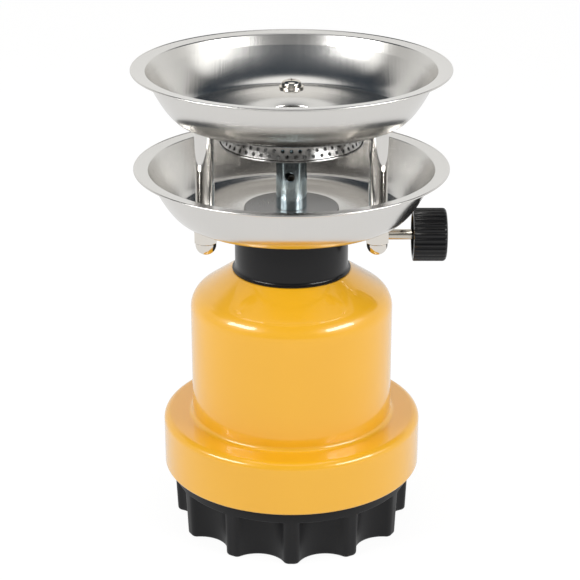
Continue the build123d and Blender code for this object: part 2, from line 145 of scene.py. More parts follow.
def beside(path: list[Point], distance: float) -> list[Point]:
    """Points beside a run, at a distance to its left."""
    moved = []
    for index, point in enumerate(path):
        before = path[max(index - 1, 0)]
        after = path[min(index + 1, len(path) - 1)]
        into = Vector(point) - Vector(before)
        out = Vector(after) - Vector(point)
        into = (into if into.length > 0 else out).normalized()
        out = (out if out.length > 0 else into).normalized()
        mean = (into + out).normalized()
        stretch = distance / max(mean.dot(into), LEAST_MITRE)
        moved.append((point[0] - mean.y * stretch, point[1] + mean.x * stretch))
    return moved


def half_round(start: Point, end: Point, steps: int = 4) -> list[Point]:
    """Inner points of a half circle from start to end, turning to the right of that line."""
    centre = (Vector(start) + Vector(end)) / 2
    arm = Vector(start) - centre
    points = []
    for index in range(1, steps):
        angle = pi * index / steps
        points.append((
            centre.x + arm.x * cos(angle) - arm.y * sin(angle),
            centre.y + arm.x * sin(angle) + arm.y * cos(angle)))
    return points


def curve(start: Point, pull: Point, end: Point, steps: int) -> list[Point]:
    """Points along a curve that leaves its start toward a pull and reaches its end from there."""
    points = []
    for index in range(steps + 1):
        t = index / steps
        weights = ((1 - t) ** 2, 2 * t * (1 - t), t * t)
        points.append(tuple(
            sum(weight * point[side] for weight, point in zip(weights, (start, pull, end)))
            for side in range(2)))
    return points


def polar(radius: float, angle: float, z: float) -> Place:
    """Place at a radius and an angle in radians round the main axis."""
    return (radius * cos(angle), radius * sin(angle), z)


def circle(radius: float, z: float, angles: list[float]) -> list[Place]:
    """Places round the main axis at a radius and a height, one for each angle."""
    return [polar(radius, angle, z) for angle in angles]


def sheet_loop(path: list[Point], thickness: float) -> list[Point]:
    """Closed section of bent sheet, with its metal to the right of the run and both edges rounded."""
    first = (Vector(path[1]) - Vector(path[0])).normalized() * thickness / 2
    last = (Vector(path[-1]) - Vector(path[-2])).normalized() * thickness / 2
    face = [tuple(Vector(path[0]) + first), *path[1:-1], tuple(Vector(path[-1]) - last)]
    other = beside(face, -thickness)
    end = half_round(other[-1], face[-1])
    start = half_round(face[0], other[0])
    return face + end[::-1] + other[::-1] + start[::-1]


def tube_loop(outer_r: float, inner_r: float, low: float, high: float, edge: float) -> list[Point]:
    """Closed section of a tube or washer with rounded corners."""
    middle = (low + high) / 2
    corners = [
        (outer_r, middle), (outer_r, high), (inner_r, high),
        (inner_r, low), (outer_r, low), (outer_r, middle),
    ]
    return rounded(corners, [edge] * 4, steps=3)[:-1]


# Modelling


def clear_selection() -> None:
    """Leaves edit mode and deselects every object."""
    if bpy.context.object and bpy.context.object.mode != "OBJECT":
        bpy.ops.object.mode_set(mode="OBJECT")
    bpy.ops.object.select_all(action="DESELECT")


def pick(piece: Piece) -> None:
    """Selects one object alone and makes it the active one."""
    clear_selection()
    piece.select_set(True)
    bpy.context.view_layer.objects.active = piece


def edit(piece: Piece) -> None:
    """Opens one piece in edit mode, with its whole mesh selected."""
    pick(piece)
    bpy.ops.object.mode_set(mode="EDIT")
    bpy.ops.mesh.select_all(action="SELECT")


def weld(piece: Piece) -> Piece:
    """Merges doubled points and turns the faces outwards."""
    edit(piece)
    bpy.ops.mesh.remove_doubles(threshold=WELD)
    bpy.ops.mesh.dissolve_degenerate(threshold=SLIVER)
    bpy.ops.mesh.normals_make_consistent(inside=False)
    bpy.ops.object.mode_set(mode="OBJECT")
    return piece


def modified(piece: Piece, kind: str, **settings: object) -> Piece:
    """Gives a piece a modifier with its settings, and applies it."""
    pick(piece)
    bpy.ops.object.modifier_add(type=kind)
    modifier = piece.modifiers[-1]
    for key, value in settings.items():
        setattr(modifier, key, value)
    bpy.ops.object.modifier_apply(modifier=modifier.name)
    return piece


def smooth(piece: Piece, angle: float = 32.0) -> Piece:
    """Shades a piece smooth, with its corners above the angle left sharp."""
    pick(piece)
    bpy.ops.object.shade_smooth_by_angle(angle=radians(angle))
    return piece


def spun(points: list[Point], axis: Axis = Axis.UPRIGHT, centre_z: float = 0.0, steps: int = 160,
         closed: bool = True) -> Piece:
    """Spins a section into a turned piece.

    Args:
        points: (radius, height) or, round the spindle, (radius, x) points of the section.
        axis: the line that the section is spun round.
        centre_z: height of the spindle's axis.
        steps: straight pieces in a full turn.
        closed: whether the section's end joins its start.

    Returns:
        The turned piece, welded and smooth.
    """
    def place(point: Point) -> Vector:
        radius, along = point
        if axis is Axis.UPRIGHT:
            return Vector((radius, 0, along)) * MM
        return Vector((along, 0, centre_z + radius)) * MM

    clear_selection()
    bpy.ops.mesh.primitive_plane_add(size=MM)
    piece = bpy.context.object
    edit(piece)
    bpy.ops.mesh.merge(type="CENTER")
    bpy.ops.transform.translate(value=place(points[0]))
    run = points + [points[0]] if closed else points
    for before, after in zip(run, run[1:]):
        bpy.ops.mesh.extrude_vertices_move(
            TRANSFORM_OT_translate={"value": place(after) - place(before)})
    bpy.ops.mesh.select_all(action="SELECT")
    line = (0, 0, 1) if axis is Axis.UPRIGHT else (1, 0, 0)
    bpy.ops.mesh.spin(steps=steps, angle=2 * pi, center=(0, 0, centre_z * MM), axis=line)
    bpy.ops.object.mode_set(mode="OBJECT")
    return smooth(weld(piece))


def wrapped(rows: list[list[Place]]) -> Piece:
    """Wraps a grid round an axis, one row of the grid for each ring of places."""
    columns = len(rows[0])
    clear_selection()
    bpy.ops.mesh.primitive_grid_add(x_subdivisions=columns, y_subdivisions=len(rows) - 1)
    piece = bpy.context.object
    places = [coordinate * MM for row in rows for place in [*row, row[0]] for coordinate in place]
    piece.data.vertices.foreach_set("co", places)
    piece.data.update()
    return smooth(weld(piece))


def cut(piece: Piece, cutter: Piece) -> Piece:
    """Cuts one solid out of another and removes the cutter."""
    modified(piece, "BOOLEAN", operation="DIFFERENCE", solver="EXACT", object=cutter)
    bpy.data.objects.remove(cutter)
    return piece


def joined(pieces: list[Piece]) -> Piece:
    """Joins meshes into the first one."""
    clear_selection()
    for piece in pieces:
        piece.select_set(True)
    bpy.context.view_layer.objects.active = pieces[0]
    bpy.ops.object.join()
    return pieces[0]


def settled(piece: Piece) -> Piece:
    """Applies a piece's place, turn and scale to its mesh."""
    pick(piece)
    bpy.ops.object.transform_apply(location=True, rotation=True, scale=True)
    return piece


def copied(piece: Piece, shift: Place) -> Piece:
    """Copies a piece with its own mesh, moved by a shift in millimetres."""
    pick(piece)
    bpy.ops.object.duplicate(linked=False)
    copy = bpy.context.object
    copy.location = Vector(shift) * MM
    return settled(copy)


def block(size: Place, centre: Place, turn: float = 0.0, edge: float = 0.3) -> Piece:
    """Rectangular block with bevelled edges, turned about Z by an angle in degrees."""
    clear_selection()
    bpy.ops.mesh.primitive_cube_add(size=MM, location=Vector(centre) * MM, rotation=(0, 0, radians(turn)),
                                    scale=size)
    piece = settled(bpy.context.object)
    edit(piece)
    bpy.ops.mesh.bevel(offset=edge * MM, segments=2, affect="EDGES")
    bpy.ops.object.mode_set(mode="OBJECT")
    return piece


def drill(radius: float, start: Place, end: Place, sides: int = 40) -> Piece:
    """Round bar from start to end, used as a cutter."""
    clear_selection()
    run = Vector(end) - Vector(start)
    bpy.ops.mesh.primitive_cylinder_add(
        vertices=sides, radius=radius * MM, depth=run.length * MM,
        location=(Vector(start) + Vector(end)) / 2 * MM,
        rotation=Vector((0, 0, 1)).rotation_difference(run).to_euler())
    return settled(bpy.context.object)


def span(node: str) -> tuple[Vector, Vector]:
    """Lowest and highest corners of a CAD node at rest, in millimetres."""
    low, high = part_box(node)
    return low / MM, high / MM


def present(piece: Piece, name: str, body: str, slot: str, look: Look,
            *nodes: str) -> Piece:
    """Names a finished piece, gives it its material and body, and reports it.

    Args:
        piece: the finished piece.
        name: its name, also that of its mesh.
        body: the CAD body that it rides on.
        slot: a material slot name; not used.
        look: its material.
        nodes: the CAD nodes that it stands for.

    Returns:
        The same piece.
    """
    piece.name = name
    piece.data.name = name
    piece.data.materials.clear()
    piece.data.materials.append(look)
    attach(piece, body)
    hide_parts(*nodes)
    log.info("%s: %d faces on body %s", name, len(piece.data.polygons), body)
    return piece


def dress(node: str, look: Look) -> None:
    """Gives a CAD node that stays in view its material."""
    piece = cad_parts[node]
    if not piece.material_slots:
        piece.data.materials.append(look)
    for holder in piece.material_slots:
        holder.material = look
    log.info("%s: CAD node dressed", node)


# Finishes


class Nodes:
    """Places and links shader nodes in one tree."""

    def __init__(self, tree: Tree) -> None:
        """Keeps the tree and empties it."""
        self.tree = tree
        tree.nodes.clear()

    def add(self, kind: str, **settings: object) -> Node:
        """Adds a node of a kind and sets its properties."""
        node = self.tree.nodes.new(kind)
        for key, value in settings.items():
            setattr(node, key, value)
        return node

    def link(self, start: Socket, end: Socket) -> None:
        """Links one socket to another."""
        self.tree.links.new(start, end)

    def math(self, operation: str, first: object, second: object = 0.0) -> Socket:
        """Adds a Math node fed by sockets or numbers, and returns its output."""
        node = self.add("ShaderNodeMath", operation=operation)
        for socket, value in zip(node.inputs, (first, second)):
            if isinstance(value, Socket):
                self.link(value, socket)
            else:
                socket.default_value = value
        return node.outputs[0]

    def blend(self, mask: Socket, low: float, high: float) -> Socket:
        """Spreads a mask of 0 to 1 between two numbers."""
        node = self.add("ShaderNodeMapRange")
        self.link(mask, node.inputs["Value"])
        node.inputs["To Min"].default_value = low
        node.inputs["To Max"].default_value = high
        return node.outputs["Result"]

    def fade(self, value: Socket, start: float, end: float) -> Socket:
        """Mask that rises smoothly from 0 to 1 as a value goes from start to end."""
        node = self.add("ShaderNodeMapRange", interpolation_type="SMOOTHSTEP")
        self.link(value, node.inputs["Value"])
        node.inputs["From Min"].default_value = start
        node.inputs["From Max"].default_value = end
        return node.outputs["Result"]

    def tint(self, mask: Socket, low: object, high: object) -> Socket:
        """Mixes two colours, each a socket or plain numbers, by a mask."""
        node = self.add("ShaderNodeMix", data_type="RGBA")
        self.link(mask, node.inputs["Factor"])
        for index, colour in ((6, low), (7, high)):
            if isinstance(colour, Socket):
                self.link(colour, node.inputs[index])
            else:
                node.inputs[index].default_value = (*colour, 1)
        return node.outputs[2]

    def clamp(self, value: Socket) -> Socket:
        """Holds a value between 0 and 1."""
        node = self.add("ShaderNodeClamp")
        self.link(value, node.inputs["Value"])
        return node.outputs[0]

    def noise(self, place: Socket, scale: Socket, entry: str = "Vector",
              **values: float) -> Socket:
        """Adds a noise at a place and a scale, along a line where the entry is W."""
        node = self.add("ShaderNodeTexNoise", noise_dimensions="1D" if entry == "W" else "3D")
        self.link(place, node.inputs[entry])
        self.link(scale, node.inputs["Scale"])
        for key, value in values.items():
            node.inputs[key].default_value = value
        return node.outputs["Fac"]

    def scaled(self, vector: Socket, factor: object) -> Socket:
        """Multiplies a vector by another, a socket or plain numbers."""
        node = self.add("ShaderNodeVectorMath", operation="MULTIPLY")
        self.link(vector, node.inputs[0])
        if isinstance(factor, Socket):
            self.link(factor, node.inputs[1])
        else:
            node.inputs[1].default_value = factor
        return node.outputs[0]

    def over(self, share: Socket, under: Socket,
             top: Socket) -> Socket:
        """Mixes two shaders by the share of the top one."""
        node = self.add("ShaderNodeMixShader")
        for socket, end in zip((share, under, top), node.inputs):
            self.link(socket, end)
        return node.outputs[0]


class Patterns:
    """Shader node groups that several finishes share, each built once."""

    made: dict[str, Tree] = {}
    grain_share = 0.7
    worn_from = 0.53
    worn_gain = 9.0

    @classmethod
    def shared(cls, name: str, fill: Callable[..., Socket],
               **inputs: float) -> Tree:
        """Group with a vector, named numbers and one mask, built at its first use.

        Args:
            name: the group's name.
            fill: fills the group from its helper and its source node, and returns the mask.
            inputs: its number inputs and their values.

        Returns:
            The group.
        """
        if name in cls.made:
            return cls.made[name]
        tree = bpy.data.node_groups.new(name, "ShaderNodeTree")
        tree.interface.new_socket("Vector", in_out="INPUT", socket_type="NodeSocketVector")
        for key, value in inputs.items():
            socket = tree.interface.new_socket(key, in_out="INPUT", socket_type="NodeSocketFloat")
            socket.default_value = value
        tree.interface.new_socket("Mask", in_out="OUTPUT", socket_type="NodeSocketFloat")
        nodes = Nodes(tree)
        source = nodes.add("NodeGroupInput")
        end = nodes.add("NodeGroupOutput")
        nodes.link(fill(nodes, source), end.inputs["Mask"])
        cls.made[name] = tree
        return tree

    @classmethod
    def cloud(cls) -> Tree:
        """Soft uneven patches, for smudges, dust and uneven plating; on the burner they make painted glints
        and painted dark reflection.
        """
        def fill(nodes: Nodes, source: Node) -> Socket:
            noise = nodes.noise(
                source.outputs["Vector"], source.outputs["Scale"], Detail=3.0, Distortion=0.4)
            raised = nodes.math("SUBTRACT", noise, 0.5)
            spread = nodes.math("MULTIPLY", raised, source.outputs["Contrast"])
            return nodes.clamp(nodes.math("ADD", spread, 0.5))

        return cls.shared("soft_patches", fill, Scale=30.0, Contrast=1.5)

    @classmethod
    def rings(cls) -> Tree:
        """Fine lines round the upright axis, as spinning and turning leave them."""
        def fill(nodes: Nodes, source: Node) -> Socket:
            place = source.outputs["Vector"]
            radius = nodes.add("ShaderNodeVectorMath", operation="LENGTH")
            nodes.link(nodes.scaled(place, (1, 1, 0)), radius.inputs[0])
            parts = nodes.add("ShaderNodeSeparateXYZ")
            nodes.link(place, parts.inputs[0])
            rise = nodes.math("MULTIPLY", parts.outputs["Z"], source.outputs["Rise"])
            along = nodes.math("ADD", radius.outputs["Value"], rise)
            return nodes.noise(along, source.outputs["Scale"], entry="W", Detail=4.0, Roughness=0.7)

        return cls.shared("turned_rings", fill, Scale=3000.0, Rise=0.6)

    @classmethod
    def streaks(cls) -> Tree:
        """Streaks drawn out along the axis whose stretch is least."""
        def fill(nodes: Nodes, source: Node) -> Socket:
            stretch = nodes.add("ShaderNodeCombineXYZ")
            for key in "XYZ":
                nodes.link(source.outputs[key], stretch.inputs[key])
            place = nodes.scaled(source.outputs["Vector"], stretch.outputs[0])
            return nodes.noise(place, source.outputs["Scale"], Detail=3.0)

        return cls.shared("drawn_streaks", fill, X=1.0, Y=1.0, Z=1.0, Scale=1000.0)

    @classmethod
    def grain(cls) -> Tree:
        """Pebbled grain of a moulding tool or of sprayed enamel."""
        def fill(nodes: Nodes, source: Node) -> Socket:
            noise = nodes.noise(source.outputs["Vector"], source.outputs["Scale"], Detail=2.0)
            cells = nodes.add("ShaderNodeTexVoronoi")
            for key in ("Vector", "Scale"):
                nodes.link(source.outputs[key], cells.inputs[key])
            half = nodes.math("MULTIPLY", cells.outputs["Distance"], 0.5)
            return nodes.math("MULTIPLY", nodes.math("ADD", noise, half), cls.grain_share)

        return cls.shared("pebbled_grain", fill, Scale=2500.0)

    @classmethod
    def wear(cls) -> Tree:
        """Worn edges, where the surface is sharply convex and a patchy noise lets it show."""
        def fill(nodes: Nodes, source: Node) -> Socket:
            past = nodes.math("SUBTRACT", source.outputs["Pointiness"], cls.worn_from)
            convex = nodes.math("MULTIPLY", past, cls.worn_gain)
            noise = nodes.noise(source.outputs["Vector"], source.outputs["Scale"])
            patchy = nodes.math("MULTIPLY", convex, noise)
            return nodes.clamp(nodes.math("MULTIPLY", patchy, source.outputs["Amount"]))

        return cls.shared("edge_wear", fill, Pointiness=0.5, Scale=200.0, Amount=1.0)


class Surface:
    """One material: a Principled shader with helpers that feed it patterns."""

    def __init__(self, name: str) -> None:
        """Makes an empty material with its shader, its output and Object coordinates."""
        self.material = bpy.data.materials.new(name)
        self.material.use_nodes = True
        self.nodes = Nodes(self.material.node_tree)
        self.shader = self.nodes.add("ShaderNodeBsdfPrincipled")
        self.output = self.nodes.add("ShaderNodeOutputMaterial")
        self.nodes.link(self.shader.outputs[0], self.output.inputs["Surface"])
        self.place = self.nodes.add("ShaderNodeTexCoord").outputs["Object"]

    def set(self, **values: object) -> None:
        """Sets plain values on the shader's own sockets, with spaces written as underscores."""
        for key, value in values.items():
            self.shader.inputs[key.replace("_", " ")].default_value = value

    def feed(self, key: str, socket: Socket) -> None:
        """Links a socket into the shader."""
        self.nodes.link(socket, self.shader.inputs[key])

    def pattern(self, group: Tree, **values: float) -> Socket:
        """Places a shared group on Object coordinates and returns its mask."""
        node = self.nodes.add("ShaderNodeGroup")
        node.node_tree = group
        self.nodes.link(self.place, node.inputs["Vector"])
        for key, value in values.items():
            node.inputs[key].default_value = value
        return node.outputs["Mask"]

    def worn(self, scale: float, amount: float) -> Socket:
        """Edge wear mask from the shape's pointiness."""
        mask = self.pattern(Patterns.wear(), Scale=scale, Amount=amount)
        shape = self.nodes.add("ShaderNodeNewGeometry")
        self.nodes.link(shape.outputs["Pointiness"], mask.node.inputs["Pointiness"])
        return mask

    def gloss(self, mask: Socket, middle: float, reach: float) -> None:
        """Feeds a roughness that a mask spreads to both sides of its middle."""
        self.feed("Roughness", self.nodes.blend(mask, middle - reach, middle + reach))

    def bump(self, mask: Socket, depth: float) -> None:
        """Adds relief of a depth in millimetres to the shader's normal."""
        node = self.nodes.add("ShaderNodeBump")
        node.inputs["Strength"].default_value = 1.0
        node.inputs["Distance"].default_value = depth * MM
        self.nodes.link(mask, node.inputs["Height"])
        self.feed("Normal", node.outputs[0])


@dataclass(frozen=True)
class Enamel:
    """Gloss enamel on pressed steel, with a faint orange peel."""

    colour: Place = (0.86, 0.445, 0.010)
    deep: Place = (0.83, 0.41, 0.007)
    worn: Place = (0.88, 0.56, 0.10)
    patch_scale: float = 18.0
    patch_contrast: float = 1.2
    wear_scale: float = 260.0
    wear_amount: float = 0.8
    roughness: float = 0.34
    spread: float = 0.04
    coat: float = 1.0
    coat_roughness: float = 0.06
    coat_ior: float = 1.5
    peel_scale: float = 900.0
    peel_depth: float = 0.004

    def material(self, name: str) -> Look:
        """Makes the material."""
        surface = Surface(name)
        patches = surface.pattern(Patterns.cloud(), Scale=self.patch_scale, Contrast=self.patch_contrast)
        base = surface.nodes.tint(patches, self.deep, self.colour)
        worn = surface.worn(self.wear_scale, self.wear_amount)
        surface.feed("Base Color", surface.nodes.tint(worn, base, self.worn))
        surface.gloss(patches, self.roughness, self.spread)
        surface.set(Coat_Weight=self.coat, Coat_Roughness=self.coat_roughness, Coat_IOR=self.coat_ior)
        surface.bump(surface.pattern(Patterns.grain(), Scale=self.peel_scale), self.peel_depth)
        return surface.material


@dataclass(frozen=True)
class Plastic:
    """Black moulded plastic."""

    colour: Place = (0.007, 0.007, 0.008)
    dusty: Place = (0.018, 0.018, 0.019)
    moulding: Moulding = Moulding.SATIN
    roughness: float = 0.42
    gleam: float = 0.27
    patch_scale: float = 45.0
    patch_contrast: float = 1.6
    dust: float = 0.4
    wear_scale: float = 400.0
    wear_amount: float = 1.0

    def material(self, name: str) -> Look:
        """Makes the material, with a pebbled grain that is deeper on a satin moulding."""
        surface = Surface(name)
        spread, grain_scale, grain_depth = self.moulding.value
        patches = surface.pattern(Patterns.cloud(), Scale=self.patch_scale, Contrast=self.patch_contrast)
        dust = surface.nodes.math("MULTIPLY", patches, self.dust)
        both = surface.nodes.math("MAXIMUM", dust, surface.worn(self.wear_scale, self.wear_amount))
        surface.feed("Base Color", surface.nodes.tint(both, self.colour, self.dusty))
        surface.gloss(patches, self.roughness, spread)
        surface.set(Specular_IOR_Level=self.gleam)
        surface.bump(surface.pattern(Patterns.grain(), Scale=grain_scale), grain_depth)
        return surface.material


@dataclass(frozen=True)
class Metal:
    """Bare or plated metal with the marks of how it was made."""

    colour: Place = (0.78, 0.765, 0.74)
    shade: Place = (0.72, 0.705, 0.68)
    grain: Grain = Grain.SPUN
    roughness: float = 0.13
    spread: float = 0.05
    relief: float = 0.0006
    stretched: float = 0.0
    patch_scale: float = 25.0
    patch_contrast: float = 1.8

    def material(self, name: str) -> Look:
        """Makes the material, whose gloss can also be stretched across the marks of the rolls."""
        surface = Surface(name)
        group = Patterns.rings() if self.grain is Grain.SPUN else Patterns.streaks()
        lines = surface.pattern(group, **self.grain.value)
        patches = surface.pattern(Patterns.cloud(), Scale=self.patch_scale, Contrast=self.patch_contrast)
        both = surface.nodes.math("MULTIPLY", surface.nodes.math("ADD", lines, patches), 0.5)
        surface.feed("Base Color", surface.nodes.tint(both, self.shade, self.colour))
        surface.gloss(both, self.roughness, self.spread)
        surface.set(Metallic=1.0)
        if self.stretched > 0:
            surface.set(Anisotropic=self.stretched)
            across = surface.nodes.add(
                "ShaderNodeVectorTransform", vector_type="VECTOR", convert_from="OBJECT",
                convert_to="WORLD")
            across.inputs[0].default_value = (1, 0, 0)
            surface.feed("Tangent", across.outputs[0])
        surface.bump(lines, self.relief)
        return surface.material


@dataclass(frozen=True)
class Rubber:
    """Black nitrile rubber with a dusty bloom."""

    colour: Place = (0.018, 0.018, 0.018)
    bloom: Place = (0.05, 0.05, 0.048)
    patch_scale: float = 120.0
    patch_contrast: float = 2.0
    roughness: float = 0.7
    spread: float = 0.1
    grain_scale: float = 3500.0
    grain_depth: float = 0.01

    def material(self, name: str) -> Look:
        """Makes the material."""
        surface = Surface(name)
        patches = surface.pattern(Patterns.cloud(), Scale=self.patch_scale, Contrast=self.patch_contrast)
        surface.feed("Base Color", surface.nodes.tint(patches, self.colour, self.bloom))
        surface.gloss(patches, self.roughness, self.spread)
        surface.bump(surface.pattern(Patterns.grain(), Scale=self.grain_scale), self.grain_depth)
        return surface.material


class Palette:
    """Every material of the object."""

    def __init__(self) -> None:
        """Makes the materials."""
        satin = Plastic()
        glossy = Plastic(
            colour=(0.005, 0.005, 0.006), dusty=(0.009, 0.009, 0.010), moulding=Moulding.GLOSS)
        self.housing = Enamel().material("housing_enamel")
        self.foot = satin.material("foot_plastic")
        self.ring = satin.material("ring_plastic")
        self.collar = replace(glossy, roughness=0.22, gleam=0.32).material("collar_plastic")
        self.knob = replace(glossy, roughness=0.19, gleam=0.34).material("knob_plastic")
        self.bowl = Metal(
            grain=Grain.ROLLED, roughness=0.2, relief=0.03, stretched=0.7).material("bowl_steel")
        self.post = Metal(
            colour=(0.80, 0.785, 0.76), shade=(0.76, 0.745, 0.72), grain=Grain.DRAWN,
            roughness=0.08, spread=0.03).material("post_steel")
        self.nickel = Metal(
            colour=(0.83, 0.79, 0.73), shade=(0.78, 0.74, 0.68), grain=Grain.DRAWN,
            roughness=0.1, spread=0.03).material("fastener_nickel")
        self.spindle = Metal(
            colour=(0.70, 0.66, 0.59), shade=(0.52, 0.48, 0.41), grain=Grain.TURNED,
            roughness=0.12, spread=0.04).material("spindle_nickel")
        # Burner steel: a near-black shade mixed with light steel in fine high-contrast patches. This is
        # painted dark reflection of the room's front with painted glints, over the steel's own tone.
        self.burner = Metal(
            colour=(0.62, 0.61, 0.59), shade=(0.16, 0.155, 0.15), roughness=0.22, spread=0.1,
            patch_scale=300.0).material("burner_steel")
        self.zinc = Metal(
            colour=(0.80, 0.90, 0.94), shade=(0.36, 0.48, 0.55), grain=Grain.DRAWN, roughness=0.17,
            spread=0.08, relief=0.012, patch_scale=160.0).material("tube_zinc")
        self.plate = Metal(
            colour=(0.36, 0.355, 0.35), shade=(0.28, 0.275, 0.27), grain=Grain.ROLLED,
            roughness=0.3, spread=0.08, relief=0.006).material("plate_steel")
        self.brass = Metal(
            colour=(0.50, 0.36, 0.16), shade=(0.34, 0.24, 0.10), roughness=0.3).material("valve_brass")
        # Near-black brass for the valve body and gas jet: painted shade, standing in for the dark inside of
        # the mixing tube seen through its air holes.
        self.painted_shade = Metal(
            colour=(0.06, 0.05, 0.035), shade=(0.03, 0.025, 0.02), roughness=0.5).material("painted_shade_brass")
        self.needle = Metal(
            colour=(0.62, 0.62, 0.62), shade=(0.55, 0.55, 0.55), roughness=0.16).material("needle_steel")
        self.tin = Metal(
            colour=(0.60, 0.62, 0.64), shade=(0.54, 0.56, 0.58), grain=Grain.ROLLED,
            roughness=0.3, spread=0.06).material("cartridge_tin")
        self.rubber = Rubber().material("seal_rubber")


# Sub-assemblies


@dataclass(frozen=True)
class SoftBox:
    """Upright lamp at a turn in degrees from the camera, sized in shares of its distance."""

    name: str
    turn: float
    side: int
    ends: Point
    heights: Point


@dataclass(frozen=True)
class Patch:
    """Part of the room at a turn in degrees, with the cosines at which it starts and is full."""

    turn: float
    across: Point
    colour: Place


@dataclass
class Studio:
    """Camera, floor, soft lights and surroundings."""

    camera_back: float = 0.769
    camera_up: float = 0.421
    camera_pitch: float = 21.61
    sensor: float = 36.0
    lens: float = 108.3
    near_clip: float = 0.01
    axis_pixel: float = 291.5
    image_width: float = 580.0
    floor_r: float = 9.0
    floor_colour: Place = (0.86, 0.86, 0.86)
    floor_roughness: float = 0.9
    floor_specular: float = 0.1
    floor_gleam: float = 0.84
    gleam_share: float = 0.9
    shadow_share: float = 0.14
    shadow_light: float = 0.7
    lamp_near: float = 0.8
    lamp_shine: float = 12.5
    boxes: tuple[SoftBox, ...] = (
        SoftBox("left", -41.0, -1, (0.05, 0.78), (0.50, 0.84)),
        SoftBox("right", 66.0, 1, (-0.48, 0.20), (0.42, 0.70)),
    )
    ambient: Place = (0.585, 0.58, 0.57)
    left_wall: Place = (0.54, 0.535, 0.52)
    right_wall: Place = (0.66, 0.655, 0.64)
    back_wall: Place = (0.87, 0.87, 0.86)
    front_wall: Place = (0.20, 0.20, 0.197)
    front_from: Point = (-0.35, -0.9)
    ring: Place = (0.025, 0.036, 0.05)
    ring_from: Point = (31.0, 41.0)
    ceiling: Place = (1.15, 1.15, 1.14)
    ceiling_from: Point = (62.0, 73.0)
    glow_up: Point = (20.0, 28.0)
    glow_down: Point = (40.0, 28.0)
    glows: tuple[Patch, ...] = (
        Patch(66.0, (0.80, 0.94), (1.9, 1.9, 1.87)),
        Patch(-62.0, (0.84, 0.95), (1.5, 1.5, 1.47)),
    )
    flag_from: Point = (22.0, 32.0)
    flags: tuple[Patch, ...] = (
        Patch(-102.0, (0.94, 0.985), (0.03, 0.035, 0.045)),
        Patch(112.0, (0.86, 0.97), (0.27, 0.27, 0.265)),
    )

    def build(self) -> None:
        """Makes the whole stage."""
        self.make_camera()
        self.make_floor()
        self.make_lamps()
        self.make_world()

    def make_camera(self) -> None:
        """Camera at the photograph's place and angle."""
        clear_selection()
        bpy.ops.object.camera_add(
            location=(0, -self.camera_back, self.camera_up),
            rotation=(radians(90 - self.camera_pitch), 0, 0))
        camera = bpy.context.object
        camera.data.sensor_width = self.sensor
        camera.data.lens = self.lens
        camera.data.clip_start = self.near_clip
        camera.data.shift_x = -(self.axis_pixel - self.image_width / 2) / self.image_width
        bpy.context.scene.camera = camera

    def make_floor(self) -> None:
        """Pale round floor that shows white to the camera and keeps a soft shadow."""
        clear_selection()
        bpy.ops.mesh.primitive_circle_add(vertices=96, radius=self.floor_r, fill_type="NGON")
        floor = bpy.context.object
        floor.name = "studio_floor"
        surface = Surface("studio_floor")
        surface.set(
            Base_Color=(*self.floor_colour, 1), Roughness=self.floor_roughness,
            Specular_IOR_Level=self.floor_specular)
        nodes = surface.nodes
        path = nodes.add("ShaderNodeLightPath")
        shown = surface.shader.outputs[0]
        covered = 1 - self.shadow_share
        white = (1 - self.shadow_share * self.floor_colour[0] * self.shadow_light) / covered
        for ray, strength, share in (
                ("Is Camera Ray", white, covered), ("Is Glossy Ray", self.floor_gleam, self.gleam_share)):
            glow = nodes.add("ShaderNodeEmission")
            glow.inputs["Strength"].default_value = strength
            shown = nodes.over(nodes.math("MULTIPLY", path.outputs[ray], share), shown, glow.outputs[0])
        nodes.link(shown, surface.output.inputs["Surface"])
        floor.data.materials.append(surface.material)

    def make_lamps(self) -> None:
        """Two long soft boxes left and right of the camera, each upright and square to its direction."""
        low, high = CAD_BOX
        aim = (low + high) / 2
        for box in self.boxes:
            turn = radians(box.turn)
            outward = Vector((sin(turn), -cos(turn), 0))
            along = Vector((cos(turn), sin(turn), 0)) * box.side
            shift = outward + along * sum(box.ends) / 2 + Vector((0, 0, sum(box.heights) / 2))
            clear_selection()
            bpy.ops.object.light_add(
                type="AREA", location=aim + shift * self.lamp_near,
                rotation=outward.to_track_quat("Z", "Y").to_euler())
            lamp = bpy.context.object
            lamp.name = f"soft_box_{box.name}"
            lamp.data.shape = "RECTANGLE"
            lamp.data.size = (box.ends[1] - box.ends[0]) * self.lamp_near
            lamp.data.size_y = (box.heights[1] - box.heights[0]) * self.lamp_near
            lamp.data.energy = self.lamp_shine * pi * lamp.data.size * lamp.data.size_y

    def make_world(self) -> None:
        """White to the camera, plain light for the object, and a studio room for its gloss."""
        world = bpy.data.worlds.new("studio")
        bpy.context.scene.world = world
        world.use_nodes = True
        nodes = Nodes(world.node_tree)
        output = nodes.add("ShaderNodeOutputWorld")
        light = nodes.add("ShaderNodeBackground")
        light.inputs["Color"].default_value = (*self.ambient, 1)
        white = nodes.add("ShaderNodeBackground")
        shine = nodes.add("ShaderNodeBackground")
        nodes.link(self.room(nodes), shine.inputs["Color"])
        white.inputs["Color"].default_value = (1, 1, 1, 1)
        path = nodes.add("ShaderNodeLightPath")
        seen = nodes.math("MAXIMUM", path.outputs["Is Camera Ray"], path.outputs["Is Transmission Ray"])
        shown = light.outputs[0]
        for ray, look in ((path.outputs["Is Glossy Ray"], shine), (seen, white)):
            shown = nodes.over(ray, shown, look.outputs[0])
        nodes.link(shown, output.inputs["Surface"])

